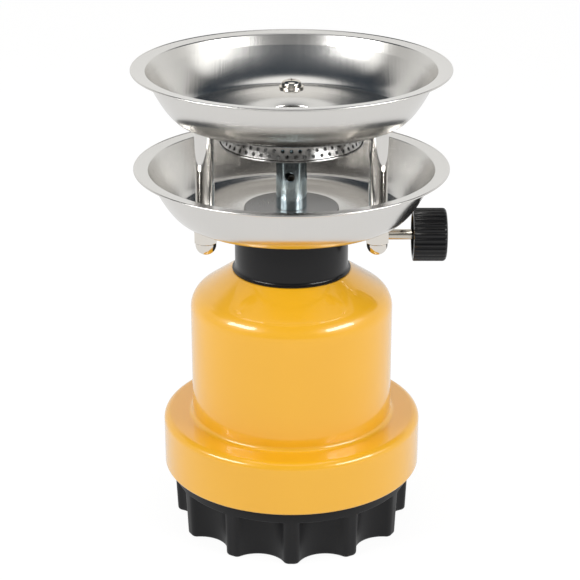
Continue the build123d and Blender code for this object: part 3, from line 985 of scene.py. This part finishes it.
    def room(self, nodes: Nodes) -> Socket:
        """Colour of the room by direction.

        It has walls, two dark flags before them, a dark ring, a white ceiling and two soft glows.

        Args:
            nodes: helper for the world's tree.

        Returns:
            The colour that gloss mirrors.
        """
        direction = nodes.add("ShaderNodeTexCoord").outputs["Generated"]
        parts = nodes.add("ShaderNodeSeparateXYZ")
        nodes.link(direction, parts.inputs[0])
        rise = nodes.math("MULTIPLY", nodes.math("ARCSINE", parts.outputs["Z"]), 180 / pi)
        level = nodes.add("ShaderNodeVectorMath", operation="NORMALIZE")
        nodes.link(nodes.scaled(direction, (1, 1, 0)), level.inputs[0])
        turned = nodes.add("ShaderNodeSeparateXYZ")
        nodes.link(level.outputs[0], turned.inputs[0])
        behind = nodes.fade(turned.outputs["Y"], 0.0, 1.0)
        rightward = nodes.fade(turned.outputs["X"], -1.0, 1.0)
        front = nodes.fade(turned.outputs["Y"], *self.front_from)
        sides = nodes.tint(rightward, self.left_wall, self.right_wall)
        around = nodes.tint(front, sides, self.front_wall)
        around = nodes.tint(behind, around, self.back_wall)
        raised = nodes.fade(rise, *self.flag_from)
        for flag in self.flags:
            around = nodes.tint(self.sector(nodes, level, flag, raised), around, flag.colour)
        ring = nodes.tint(nodes.fade(rise, *self.ring_from), around, self.ring)
        shown = nodes.tint(nodes.fade(rise, *self.ceiling_from), ring, self.ceiling)
        above = nodes.math("MULTIPLY", nodes.fade(rise, *self.glow_up), nodes.fade(rise, *self.glow_down))
        for glow in self.glows:
            shown = nodes.tint(self.sector(nodes, level, glow, above), shown, glow.colour)
        return shown

    def sector(self, nodes: Nodes, level: Node, patch: Patch,
               heights: Socket) -> Socket:
        """Mask of one patch of the room.

        Args:
            nodes: helper for the world's tree.
            level: node that puts out the level direction.
            patch: the patch, its turn being that of its middle from the camera, positive to the right.
            heights: mask of the heights that the patch covers.

        Returns:
            The mask.
        """
        toward = nodes.add("ShaderNodeVectorMath", operation="DOT_PRODUCT")
        nodes.link(level.outputs[0], toward.inputs[0])
        toward.inputs[1].default_value = (sin(radians(patch.turn)), -cos(radians(patch.turn)), 0)
        return nodes.math("MULTIPLY", nodes.fade(toward.outputs["Value"], *patch.across), heights)


@dataclass
class Foot:
    """Scalloped screw foot: skirt, rim, ribbed underside and threaded upstand."""

    tip_r: float = 57.4
    draft: float = 1.1
    lobes: int = 12
    first_tip: float = -90.0
    scallop_depth: float = 7.6
    scallop_r: float = 13.4
    tip_round: float = 2.9
    tip_steps: int = 2
    round_steps: int = 6
    scallop_steps: int = 14
    least_round: float = 0.3
    edge_round: float = 1.4
    edge_lead: float = 1.3
    side_shares: tuple[float, ...] = (0.97, 0.7, 0.45, 0.2)
    height: float = 28.9
    rim_h: float = 6.3
    rim_round: float = 0.8
    rim_fillet: float = 1.0
    bend_steps: int = 6
    deck: float = 3.0
    wall: float = 3.0
    hub_r: float = 16.0
    ribs: int = 6
    rib_t: float = 2.0
    rib_lift: float = 4.0
    rib_offset: float = 0.25
    thread_wall_r: float = 54.6
    thread_wall_h: float = 16.0
    thread_lead: float = 1.0
    thread_pitch: float = 3.0
    thread_turns: int = 4
    thread_proud: float = 0.4
    thread_flank: float = 0.7
    thread_crest: float = 0.4
    thread_steps: int = 120
    ring_r: float = 45.7
    ring_t: float = 1.8
    ring_h: float = 4.0
    corner: float = 0.3

    def outline(self, tip_r: float, inset: float) -> list[Point]:
        """Scalloped outline in the plane.

        Args:
            tip_r: radius to the tips before the inset.
            inset: distance that the outline is drawn in by.

        Returns:
            Points once round, as many for every inset.
        """
        centre = tip_r - self.scallop_depth + self.scallop_r
        scallop = self.scallop_r + inset
        fillet = max(self.tip_round - inset, self.least_round)
        reach = tip_r - inset - fillet
        half = pi / self.lobes
        swing = acos((reach ** 2 + centre ** 2 - (scallop + fillet) ** 2) / (2 * reach * centre))
        lean = half - swing
        around = [(0, 0, tip_r - inset, lean * share / self.tip_steps) for share in range(self.tip_steps)]
        fx, fy = reach * cos(lean), reach * sin(lean)
        cx, cy = centre * cos(half), centre * sin(half)
        toward = atan2(cy - fy, cx - fx)
        around += [
            (fx, fy, fillet, lean + (toward - lean) * share / self.round_steps)
            for share in range(self.round_steps)]
        start, end = toward + pi, half + pi
        around += [
            (cx, cy, scallop, start + (end - start) * share / self.scallop_steps)
            for share in range(self.scallop_steps + 1)]
        side = [(x + r * cos(a), y + r * sin(a)) for x, y, r, a in around]
        lobe = [(x, -y) for x, y in side[:0:-1]] + side[:-1]
        points = []
        for index in range(self.lobes):
            turn = radians(self.first_tip) + 2 * half * index
            points += [(x * cos(turn) - y * sin(turn), x * sin(turn) + y * cos(turn)) for x, y in lobe]
        return points

    def rows(self) -> list[list[Place]]:
        """Rings of the whole surface, from the middle of the deck over the rim to the hub beneath."""
        top = self.outline(self.tip_r, 0)
        angles = [atan2(y, x) for x, y in top]
        depths = [self.tip_r - hypot(x, y) for x, y in top]
        quarter = [radians(90 * index / self.bend_steps) for index in range(self.bend_steps + 1)]
        return [
            *self.deck_rows(angles), *self.rim_rows(angles, depths, quarter),
            *self.skirt_rows(quarter), *self.hub_rows(angles),
        ]

    def deck_rows(self, angles: list[float]) -> list[list[Place]]:
        """Rings of the deck, from its middle over the inner ring and the upstand to the rim."""
        thread_top = self.height + self.thread_wall_h
        inner = self.thread_wall_r - self.wall
        ring_top = self.height + self.ring_h
        ring_out = self.ring_r + self.ring_t
        c = self.corner
        return [circle(r, z, angles) for r, z in [
            (0.0, self.height), (self.ring_r, self.height), (self.ring_r, ring_top - c),
            (self.ring_r + c, ring_top), (ring_out - c, ring_top), (ring_out, ring_top - c),
            (ring_out, self.height), (inner, self.height), (inner, thread_top - c), (inner + c, thread_top),
            (self.thread_wall_r - self.thread_lead, thread_top),
            (self.thread_wall_r, thread_top - self.thread_lead), (self.thread_wall_r, self.height),
            (self.tip_r - self.rim_round - c, self.height),
        ]]

    def rim_rows(self, angles: list[float], depths: list[float], quarter: list[float]) -> list[list[Place]]:
        """Rings of the rim, round its two edges and in along the fillet beneath it.

        Args:
            angles: angle of each point of the scalloped outline.
            depths: how far each point lies inside the tips.
            quarter: angles of a quarter turn, for the arcs.

        Returns:
            The rings.
        """
        shelf_z = self.height - self.rim_h
        rows = []
        for a in quarter:
            radius = self.tip_r - self.rim_round * (1 - sin(a))
            rows.append(circle(radius, self.height - self.rim_round * (1 - cos(a)), angles))
        bends = [min(self.rim_round, depth / 2) for depth in depths]
        for a in reversed(quarter):
            rows.append([
                polar(self.tip_r - bend * (1 - sin(a)), angle, shelf_z + bend * (1 - cos(a)))
                for angle, bend in zip(angles, bends)])
        bends = [min(self.rim_fillet, depth / 2) for depth in depths]
        for a in quarter:
            rows.append([
                polar(self.tip_r - depth + bend * (1 - sin(a)), angle, shelf_z - bend * (1 - cos(a)))
                for angle, depth, bend in zip(angles, depths, bends)])
        return rows

    def skirt_rows(self, quarter: list[float]) -> list[list[Place]]:
        """Rings of the scalloped skirt, down its outside, round its bottom edge and up its inside."""
        deck_z = self.height - self.deck

        def wall(z: float, inset: float) -> list[Place]:
            tip = self.tip_r - self.draft * (1 - z / deck_z)
            return [(x, y, z) for x, y in self.outline(tip, inset)]

        side_h = self.height - self.rim_h - self.rim_fillet
        c = self.corner
        e = self.edge_round
        return [
            *[wall(side_h * share, 0) for share in self.side_shares],
            wall(e * self.edge_lead, 0),
            *[wall(e * (1 - sin(a)), e * (1 - cos(a))) for a in quarter],
            wall(0, self.wall - c),
            *[[(x, y, z) for x, y, _ in wall(0, self.wall)] for z in (c, deck_z)],
        ]

    def hub_rows(self, angles: list[float]) -> list[list[Place]]:
        """Rings of the hub under the deck, in to the middle."""
        deck_z = self.height - self.deck
        hub_in = self.hub_r - self.wall
        c = self.corner
        return [circle(r, z, angles) for r, z in [
            (self.hub_r, deck_z), (self.hub_r, c), (self.hub_r - c, 0.0), (hub_in + c, 0.0), (hub_in, c),
            (hub_in, deck_z), (0.0, deck_z),
        ]]

    def make_ribs(self) -> list[Piece]:
        """Radial ribs between the hub and the skirt."""
        deck_z = self.height - self.deck
        valley_r = self.tip_r - self.draft - self.scallop_depth - self.wall
        length = valley_r - self.hub_r + self.wall
        height = deck_z - self.rib_lift
        radius = self.hub_r + length / 2 - self.wall / 2
        ribs = []
        for index in range(self.ribs):
            turn = self.first_tip + (index + self.rib_offset) * 360 / self.ribs
            centre = polar(radius, radians(turn), self.rib_lift + height / 2)
            ribs.append(block((length, self.rib_t, height), centre, turn))
        return ribs

    def make_thread(self) -> Piece:
        """Coarse thread ridge round the upstand, made by the Screw modifier."""
        clear_selection()
        bpy.ops.mesh.primitive_plane_add(size=MM)
        piece = bpy.context.object
        base_r = self.thread_wall_r - self.corner
        crest_r = self.thread_wall_r + self.thread_proud
        low = self.height + self.thread_pitch / 2
        flank, crest = self.thread_flank, self.thread_crest
        section = [
            (base_r, low), (crest_r, low + flank),
            (base_r, low + flank + crest + flank), (crest_r, low + flank + crest),
        ]
        for vertex, (radius, z) in zip(piece.data.vertices, section):
            vertex.co = Vector((radius, 0, z)) * MM
        steps = self.thread_steps * self.thread_turns
        modified(
            piece, "SCREW", angle=2 * pi * self.thread_turns,
            screw_offset=self.thread_pitch * self.thread_turns * MM, steps=steps, render_steps=steps)
        return smooth(weld(piece))

    def build(self, palette: Palette) -> None:
        """Makes the foot and gives it to its body."""
        body = joined([wrapped(self.rows()), *self.make_ribs(), self.make_thread()])
        present(body, "screw_foot_moulding", "foot", "foot_plastic", palette.foot, "screw_foot")


@dataclass
class Housing:
    """Pressed and enamelled shell, with the cartridge and the threaded ring inside it."""

    wall: float = 0.9
    wall_r: float = 47.83
    skirt_bend: float = 3.5
    hem_w: float = 2.4
    hem_bend: float = 1.2
    skirt_h: float = 26.05
    step_bend: float = 2.2
    shoulder_drop: float = 13.3
    shoulder_bend: float = 10.5
    neck_r: float = 28.2
    neck_bend: float = 1.5
    neck_hole_r: float = 8.05

    def build(self, palette: Palette) -> None:
        """Makes the shell and dresses what is inside it."""
        low, high = span("housing")
        skirt_top = low.z + self.skirt_h
        corners = [
            (self.neck_hole_r, high.z), (self.neck_r, high.z), (self.wall_r, high.z - self.shoulder_drop),
            (self.wall_r, skirt_top), (high.x, skirt_top), (high.x, low.z), (high.x - self.hem_w, low.z),
        ]
        bends = [self.neck_bend, self.shoulder_bend, self.step_bend, self.skirt_bend, self.hem_bend]
        path = rounded(corners, bends, steps=10)
        shell = spun(sheet_loop(path, self.wall), steps=240)
        present(shell, "housing_shell", "stove", "housing_paint", palette.housing, "housing")
        dress("thread_ring", palette.ring)
        dress("gas_cartridge", palette.tin)


@dataclass
class Collar:
    """Black sleeve round the neck, with a slot in its top edge for the spindle."""

    radius: float = 26.6
    wall: float = 2.0
    lip_w: float = 1.3
    lip_edge: float = 0.7
    lip_h: float = 2.8
    slot_w: float = 7.6
    slot_reach: float = 1.2
    slot_spare: float = 1.0
    edge: float = 0.35
    edge_part: float = 0.3

    def build(self, palette: Palette) -> None:
        """Makes the sleeve and cuts its slot."""
        low, high = span("neck_collar")
        lip_r = self.radius + self.lip_w
        inner = self.radius - self.wall
        lip_z = low.z + self.lip_edge
        flare = curve((lip_r, lip_z), (self.radius, lip_z), (self.radius, low.z + self.lip_h), steps=8)
        e = self.edge
        part = e * self.edge_part
        section = [
            (inner, low.z), (lip_r - e, low.z), (lip_r - part, low.z + part), *flare,
            (self.radius, high.z - e), (self.radius - part, high.z - part), (self.radius - e, high.z),
            (inner, high.z),
        ]
        sleeve = spun(section, steps=160)
        spindle_z = spindle_height()
        reach = lip_r * self.slot_reach
        sleeve = cut(sleeve, drill(self.slot_w / 2, (0, 0, spindle_z), (reach, 0, spindle_z)))
        slot_h = high.z - spindle_z + self.slot_spare
        clear_selection()
        bpy.ops.mesh.primitive_cube_add(
            size=MM, location=Vector((reach / 2, 0, spindle_z + slot_h / 2)) * MM,
            scale=(reach, self.slot_w, slot_h))
        sleeve = smooth(cut(sleeve, settled(bpy.context.object)))
        present(sleeve, "neck_sleeve", "stove", "collar_plastic", palette.collar, "neck_collar")


def spindle_height() -> float:
    """Height of the spindle's axis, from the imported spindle."""
    low, high = span("valve_spindle")
    return (low.z + high.z) / 2


@dataclass
class Bowls:
    """Two bowls from one pressing: beaded edge, near flat band, wall, ring for the posts, raised middle."""

    sheet: float = 0.6
    depth: float = 22.9
    rim_r: float = 72.8
    bead_r: float = 0.5
    bead_steps: int = 18
    band_w: float = 6.2
    band_rise: float = 0.75
    band_bend: float = 0.2
    crease_r: float = 64.5
    crease_drop: float = 6.0
    crease_bend: float = 7.0
    crease_points: int = 3
    bend_r: float = 56.2
    floor_r: float = 51.2
    plateau_r: float = 37.8
    slope_w: float = 1.3
    rise: float = 0.8
    slope_bend: float = 0.4
    valve_hole_r: float = 6.05
    flame_hole_r: float = 11.5

    def bead(self, rim_z: float) -> list[Point]:
        """Curled edge, from the upper face of the band over the outside to its underside."""
        centre = Vector((self.rim_r - self.bead_r, rim_z - self.bead_r))
        corner = Vector((self.rim_r - self.band_w, rim_z - self.sheet - self.band_rise))
        inward = corner - (centre - Vector((0, self.sheet / 2)))
        middle = atan2(inward.y, inward.x)
        half = asin(self.sheet / 2 / self.bead_r)
        first, last = middle - half + 2 * pi, middle + half
        turns = [first + (last - first) * index / self.bead_steps for index in range(self.bead_steps + 1)]
        return [(centre.x + self.bead_r * cos(turn), centre.y + self.bead_r * sin(turn)) for turn in turns]

    def under(self, floor_z: float, hole_r: float) -> list[Point]:
        """Run of the bowl's underside, from the hole out to the bead.

        The last points of the wall's curve give way to the rounded crease.
        """
        rim_z = floor_z + self.depth
        crease = (self.crease_r, rim_z - self.crease_drop)
        wall = curve((self.floor_r, floor_z), (self.bend_r, floor_z), crease, steps=16)[1:]
        top = self.rise + floor_z
        floor = rounded(
            [(hole_r, top), (self.plateau_r - self.slope_w, top), (self.plateau_r, floor_z),
             (self.floor_r, floor_z)], [self.slope_bend, self.slope_bend], steps=5)
        band = rounded(
            [wall[-self.crease_points], crease,
             (self.rim_r - self.band_w, rim_z - self.sheet - self.band_rise),
             self.bead(rim_z)[-1]], [self.crease_bend, self.band_bend], steps=6)
        return floor + wall[:-self.crease_points] + band

    def section(self, floor_z: float, hole_r: float) -> list[Point]:
        """Closed section of a bowl with its bead and a rounded edge at the hole."""
        face = self.under(floor_z, hole_r)[::-1]
        other = beside(face, -self.sheet)
        edge = half_round(other[-1], face[-1])
        return face + edge[::-1] + other[::-1] + self.bead(floor_z + self.depth)[1:-1]

    def build(self, palette: Palette) -> None:
        """Makes both bowls."""
        for node, hole_r in (("lower_bowl", self.valve_hole_r), ("upper_bowl", self.flame_hole_r)):
            bowl = spun(self.section(span(node)[0].z, hole_r), steps=256)
            present(bowl, node + "_pressing", "stove", "bowl_steel", palette.bowl, node)


@dataclass
class Posts:
    """Three posts with their bolts, washers and domed nuts."""

    circle_r: float = 45.0
    angles: tuple[float, float, float] = (210.0, 330.0, 90.0)
    radius: float = 4.3
    bore_r: float = 3.3
    edge: float = 0.25
    bolt_r: float = 3.0
    bolt_edge: float = 0.3
    head_r: float = 4.9
    head_h: float = 3.2
    head_edge: float = 0.8
    seat_edge: float = 0.15
    washer_r: float = 5.9
    nut_flats: float = 10.0
    nut_hex_h: float = 6.2
    nut_sides: int = 72
    nut_inset: float = 0.25
    nut_chamfer: float = 28.0
    chamfer_steps: int = 6
    nut_middle_r: float = 0.001
    dome_r: float = 4.8
    dome_step: float = 0.12
    dome_steps: int = 12
    recess_len: float = 3.6
    recess_w: float = 0.7
    recess_depth: float = 1.7
    recess_edge: float = 0.1

    def places(self) -> list[Place]:
        """Shift from the main axis to each post."""
        return [polar(self.circle_r, radians(a), 0.0) for a in self.angles]

    def spread(self, piece: Piece) -> Piece:
        """Puts a copy of a piece at each post and joins them into one."""
        copies = [copied(piece, place) for place in self.places()]
        bpy.data.objects.remove(piece)
        return joined(copies)

    def make_bolt(self) -> Piece:
        """Bolt with a domed head and a cross recess."""
        low, high = span("post_bolts")
        head_z = high.z - self.head_h
        edge_z = head_z + self.head_edge
        dome = curve((self.head_r, edge_z), (self.head_r, high.z), (0, high.z), steps=12)
        section = [
            (0, low.z), (self.bolt_r - self.bolt_edge, low.z), (self.bolt_r, low.z + self.bolt_edge),
            (self.bolt_r, head_z), (self.head_r - self.seat_edge, head_z),
            (self.head_r, head_z + self.seat_edge), *dome,
        ]
        bolt = spun(section, steps=64, closed=False)
        size = (self.recess_len, self.recess_w, self.recess_depth * 2)
        for turn in (0.0, 90.0):
            bolt = cut(bolt, block(size, (0, 0, high.z), turn, self.recess_edge))
        return smooth(bolt)

    def make_nut(self) -> Piece:
        """Domed nut: a hexagon with chamfered corners over a round cap."""
        low, high = span("domed_nuts")
        side_r = self.nut_flats / 2
        corner_r = side_r / cos(pi / 6)
        sides = [2 * pi * index / self.nut_sides for index in range(self.nut_sides)]

        def hexagon(z: float, limit: float) -> list[Place]:
            flats = [side_r / cos((a + pi / 6) % (pi / 3) - pi / 6) for a in sides]
            return [polar(min(flat, limit), a, z) for flat, a in zip(flats, sides)]

        hex_low = high.z - self.nut_hex_h
        slope = tan(radians(self.nut_chamfer))
        start = side_r - self.nut_inset
        ends = [
            index / self.chamfer_steps * (corner_r - side_r + self.nut_inset)
            for index in range(self.chamfer_steps + 1)]
        rows = [hexagon(high.z, self.nut_middle_r)]
        rows += [hexagon(high.z - grow * slope, start + grow) for grow in ends]
        rows += [hexagon(hex_low + grow * slope, start + grow) for grow in reversed(ends)]
        cap_z = low.z + self.dome_r
        rows += [circle(r, z, sides) for r, z in [
            (self.dome_r + self.dome_step, hex_low), (self.dome_r, hex_low - self.dome_step),
            (self.dome_r, cap_z),
        ]]
        for index in range(1, self.dome_steps + 1):
            turn = radians(90 * index / self.dome_steps)
            radius = max(self.dome_r * cos(turn), 0.0)
            rows.append(circle(radius, cap_z - self.dome_r * sin(turn), sides))
        return wrapped(rows)

    def make_washer(self, node: str) -> Piece:
        """Washer at a node's height."""
        low, high = span(node)
        return spun(tube_loop(self.washer_r, self.bolt_r, low.z, high.z, self.edge), steps=64)

    def build(self, palette: Palette) -> None:
        """Makes the posts and their fasteners."""
        low, high = span("post_rear")
        tube = spun(tube_loop(self.radius, self.bore_r, low.z, high.z, self.edge), steps=72)
        for node, place in zip(("post_left", "post_right", "post_rear"), self.places()):
            present(copied(tube, place), node + "_tube", "stove", "post_steel", palette.post, node)
        bpy.data.objects.remove(tube)
        for node, piece in (
                ("post_bolts", self.make_bolt()), ("domed_nuts", self.make_nut()),
                ("head_washers", self.make_washer("head_washers")),
                ("nut_washers", self.make_washer("nut_washers"))):
            present(self.spread(piece), node + "_set", "stove", "fastener_nickel", palette.nickel, node)


@dataclass
class Burner:
    """Clamp plate, mixing tube, burner dish and perforated cap."""

    plate_edge: float = 0.3
    plate_hole_r: float = 6.05
    tube_r: float = 7.15
    tube_bore_r: float = 5.95
    tube_edge: float = 0.3
    air_hole_r: float = 2.35
    air_holes: int = 4
    air_hole_h: float = 16.3
    air_hole_turn: float = -97.0
    air_hole_span: Point = (0.28, 1.4)
    sheet: float = 0.6
    dish_r: float = 33.3
    rim_w: float = 3.6
    socket_h: float = 3.2
    dish_bend: float = 2.0
    socket_r: float = 7.8
    socket_drop: float = 0.5
    cap_base_r: float = 32.1
    cap_seat_w: float = 1.1
    cap_seat_bend: float = 0.35
    cap_top_r: float = 29.0
    cap_bend: float = 1.5
    cap_crown_bend: float = 0.8
    cap_weld: float = 0.03
    cap_corner: float = 28.0
    dimple_r: float = 10.0
    dimple_slope_w: float = 2.5
    dimple_depth: float = 1.2
    ports: int = 50
    port_r: float = 0.85
    rows: int = 2
    row_h: float = 2.1
    row_pitch: float = 2.4
    tile_parts: int = 4
    tie_break: float = 1.0001

    def build(self, palette: Palette) -> None:
        """Makes the four pieces."""
        low, high = span("clamp_plate")
        plate = spun(tube_loop(high.x, self.plate_hole_r, low.z, high.z, self.plate_edge), steps=128)
        present(plate, "clamp_plate_disc", "stove", "plate_steel", palette.plate, "clamp_plate")
        self.make_tube(palette)
        self.make_dish(palette)
        self.make_cap(palette)

    def make_tube(self, palette: Palette) -> None:
        """Mixing tube with its air holes."""
        low, high = span("mixing_tube")
        tube = spun(tube_loop(self.tube_r, self.tube_bore_r, low.z, high.z, self.tube_edge), steps=96)
        z = low.z + self.air_hole_h
        for index in range(self.air_holes):
            angle = radians(self.air_hole_turn + index * 360 / self.air_holes)
            start, end = (polar(self.tube_r * share, angle, z) for share in self.air_hole_span)
            tube = cut(tube, drill(self.air_hole_r, start, end))
        present(smooth(tube), "mixing_tube_body", "stove", "tube_zinc", palette.zinc, "mixing_tube")

    def make_dish(self, palette: Palette) -> None:
        """Pressed dish under the cap."""
        rim_z = span("burner_dish")[1].z - self.sheet
        tube_top = span("mixing_tube")[1].z
        # The run is the sheet's under face, so that the socket goes round the tube.
        corners = [
            (self.socket_r, tube_top - self.socket_h), (self.socket_r, tube_top - self.socket_drop),
            (self.dish_r - self.rim_w, rim_z), (self.dish_r, rim_z),
        ]
        path = rounded(corners, [self.dish_bend, self.dish_bend], steps=8)
        dish = spun(sheet_loop(path[::-1], self.sheet), steps=200)
        present(dish, "burner_dish_pressing", "stove", "burner_steel", palette.burner, "burner_dish")

    def port_row(self, z_low: float, height: float, mean_r: float) -> Piece:
        """Ring of tiles with a round port in each, bent to a cylinder of the mean radius."""
        pitch = 2 * pi * mean_r / self.ports
        clear_selection()
        bpy.ops.mesh.primitive_circle_add(
            vertices=4 * self.tile_parts, radius=self.port_r * MM, rotation=(radians(90), 0, 0))
        tile = settled(bpy.context.object)
        edit(tile)
        bpy.ops.mesh.extrude_edges_move()
        bpy.ops.object.mode_set(mode="OBJECT")
        half = self.tile_parts / 2
        for vertex in tile.data.vertices:
            if not vertex.select:
                continue
            angle = atan2(vertex.co.z, vertex.co.x)
            reach = 1 / max(abs(cos(angle)), abs(sin(angle)))
            across = round(reach * cos(angle) * half * self.tie_break) / half
            up = round(reach * sin(angle) * half * self.tie_break) / half
            vertex.co = Vector((across * pitch / 2, 0, up * height / 2)) * MM
        modified(
            tile, "ARRAY", count=self.ports, use_relative_offset=False, use_constant_offset=True,
            constant_offset_displace=(pitch * MM, 0, 0))
        tile.location = (-pitch * MM * (self.ports - 1) / 2, 0, 0)
        modified(settled(tile), "SIMPLE_DEFORM", deform_method="BEND", deform_axis="Z", angle=2 * pi)
        depths = [vertex.co.y for vertex in tile.data.vertices]
        tile.location = (0, -(min(depths) + max(depths)) / 2, (z_low + height / 2) * MM)
        return settled(tile)

    def make_cap(self, palette: Palette) -> None:
        """Perforated cap: a steep band with staggered ports, a dimpled top and a flat seat."""
        low, high = span("burner_cap")
        seat_z = low.z
        rim_z = seat_z - self.sheet
        slope = (self.cap_base_r - self.cap_top_r) / (high.z - seat_z)
        mean_r = (self.cap_base_r + self.cap_top_r) / 2
        band_low = rim_z + self.row_h - self.row_pitch / 2
        band_high = band_low + self.rows * self.row_pitch
        rings = []
        for row in range(self.rows):
            ring = self.port_row(band_low + row * self.row_pitch, self.row_pitch, mean_r)
            if row % 2:
                edit(ring)
                bpy.ops.transform.rotate(value=pi / self.ports, orient_axis="Z", center_override=(0, 0, 0))
                bpy.ops.object.mode_set(mode="OBJECT")
            rings.append(ring)
        band = joined(rings)
        for vertex in band.data.vertices:
            wanted = self.cap_base_r - (vertex.co.z / MM - seat_z) * slope
            share = wanted / mean_r
            vertex.co.x *= share
            vertex.co.y *= share
        low_r = self.cap_base_r - (band_low - seat_z) * slope
        high_r = self.cap_base_r - (band_high - seat_z) * slope
        steps = self.ports * self.tile_parts
        dimple_z = high.z - self.dimple_depth
        crown_path = rounded(
            [(high_r, band_high), (self.cap_top_r, high.z), (self.dimple_r + self.dimple_slope_w, high.z),
             (self.dimple_r, dimple_z), (0, dimple_z)],
            [self.cap_crown_bend, self.cap_bend, self.cap_bend], steps=6)
        seat_path = rounded(
            [(self.cap_base_r + self.cap_seat_w, seat_z), (self.cap_base_r, seat_z), (low_r, band_low)],
            [self.cap_seat_bend], steps=4)
        crown = spun(crown_path, steps=steps, closed=False)
        seat = spun(seat_path, steps=steps, closed=False)
        cap = joined([band, crown, seat])
        edit(cap)
        bpy.ops.mesh.remove_doubles(threshold=self.cap_weld * MM)
        bpy.ops.mesh.normals_make_consistent(inside=False)
        bpy.ops.object.mode_set(mode="OBJECT")
        modified(cap, "SOLIDIFY", thickness=self.sheet * MM, offset=-1.0)
        smooth(cap, self.cap_corner)
        present(cap, "burner_cap_pressing", "stove", "burner_steel", palette.burner, "burner_cap")


@dataclass
class Control:
    """Valve spindle and fluted knob."""

    spindle_r: float = 2.5
    spindle_edge: float = 0.4
    tip_r: float = 0.9
    tip_len: float = 2.4
    thread_r: float = 3.3
    thread_end: float = 13.9
    knob_r: float = 12.5
    knob_len: float = 15.7
    flutes: int = 30
    flute_steps: int = 12
    flute_depth: float = 0.55
    flute_power: float = 1.4
    edge_round: float = 1.8
    edge_steps: int = 8
    side_shares: tuple[float, ...] = (0.3, 0.6, 0.9, 1.0)
    knob_wall: float = 2.4
    recess: float = 9.0
    hub_r: float = 5.2
    hub_stand: float = 1.2
    grip: float = 10.5
    dish_r: float = 8.2
    dish_depth: float = 0.7
    dish_slope_w: float = 0.8
    dish_edge: tuple[Point, ...] = ((0.0, 0.6), (0.03, 0.3), (0.15, 0.08), (0.45, -0.25))
    back_edge: float = 0.5
    back_part: float = 0.3
    back_flute: float = 0.2

    def make_spindle(self, palette: Palette) -> None:
        """Spindle turned round its own axis, with a groove before the knob."""
        low, high = span("valve_spindle")
        centre = spindle_height()
        e = self.spindle_edge
        section = [
            (0, low.x), (self.tip_r, low.x), (self.thread_r, low.x + self.tip_len),
            (self.thread_r, self.thread_end - e), (self.spindle_r, self.thread_end),
            (self.spindle_r, high.x - e), (self.spindle_r - e, high.x), (0, high.x),
        ]
        spindle = spun(section, Axis.SPINDLE, centre, steps=64, closed=False)
        present(spindle, "valve_spindle_bar", "knob", "fastener_nickel", palette.spindle, "valve_spindle")

    def make_knob(self, palette: Palette) -> None:
        """Knob with a fluted side, a rounded outer edge, a shallow dish and a hollow back."""
        back_x = span("control_knob")[0].x
        centre = spindle_height()
        count = self.flutes * self.flute_steps
        turns = [2 * pi * index / count for index in range(count)]

        def ring(along: float, radius: float, fluted: float = 0.0) -> list[Place]:
            places = []
            for turn in turns:
                groove = fluted * max(0.0, (1 + cos(turn * self.flutes)) / 2) ** self.flute_power
                r = min(radius, self.knob_r - groove) if fluted else radius
                places.append((back_x + along, r * cos(turn), centre + r * sin(turn)))
            return places

        d = self.flute_depth
        e = self.edge_round
        inner = self.knob_r - self.knob_wall
        face = self.knob_len
        rows = [ring(a, r) for a, r in [
            (self.grip, 0.0), (self.grip, self.spindle_r), (self.hub_stand, self.spindle_r),
            (self.hub_stand, self.hub_r), (self.recess, self.hub_r), (self.recess, inner),
            (self.back_edge, inner), (0.0, inner + self.back_edge),
        ]]
        back = self.back_edge * self.back_part
        rows += [
            ring(0.0, self.knob_r - d - self.back_edge),
            ring(back, self.knob_r - back - d * self.back_flute, d),
            ring(self.back_edge, self.knob_r, d)]
        rows += [ring((face - e) * share, self.knob_r, d) for share in self.side_shares]
        for index in range(1, self.edge_steps + 1):
            turn = radians(90 * index / self.edge_steps)
            rows.append(ring(face - e + e * sin(turn), self.knob_r - e + e * cos(turn), d))
        rows += [ring(face - fall, self.dish_r + past) for fall, past in self.dish_edge]
        rows += [ring(face - self.dish_depth, r) for r in (self.dish_r - self.dish_slope_w, 0.0)]
        present(wrapped(rows), "fluted_knob", "knob", "knob_plastic", palette.knob, "control_knob")

    def build(self, palette: Palette) -> None:
        """Makes the spindle and the knob."""
        self.make_spindle(palette)
        self.make_knob(palette)


@dataclass
class Valve:
    """Brass valve parts, needle and seals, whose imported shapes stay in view."""

    brass: tuple[str, ...] = ("neck_nut", "gland_nut")
    # The valve body and gas jet take the near-black brass: painted shade for the dark inside of the mixing
    # tube.
    painted_shade: tuple[str, ...] = ("valve_body", "gas_jet")
    rubber: tuple[str, ...] = ("needle_seal", "spindle_seal")

    def build(self, palette: Palette) -> None:
        """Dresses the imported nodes."""
        for node in self.brass:
            dress(node, palette.brass)
        for node in self.painted_shade:
            dress(node, palette.painted_shade)
        for node in self.rubber:
            dress(node, palette.rubber)
        dress("piercing_needle", palette.needle)


def main() -> None:
    """Builds the stage and every sub-assembly."""
    logging.basicConfig(level=logging.INFO, format="%(name)s %(message)s")
    bpy.context.scene.view_settings.view_transform = "Standard"
    Studio().build()
    palette = Palette()
    for assembly in (Foot(), Housing(), Collar(), Bowls(), Posts(), Burner(), Control(), Valve()):
        assembly.build(palette)


if __name__ == "__main__":
    main()
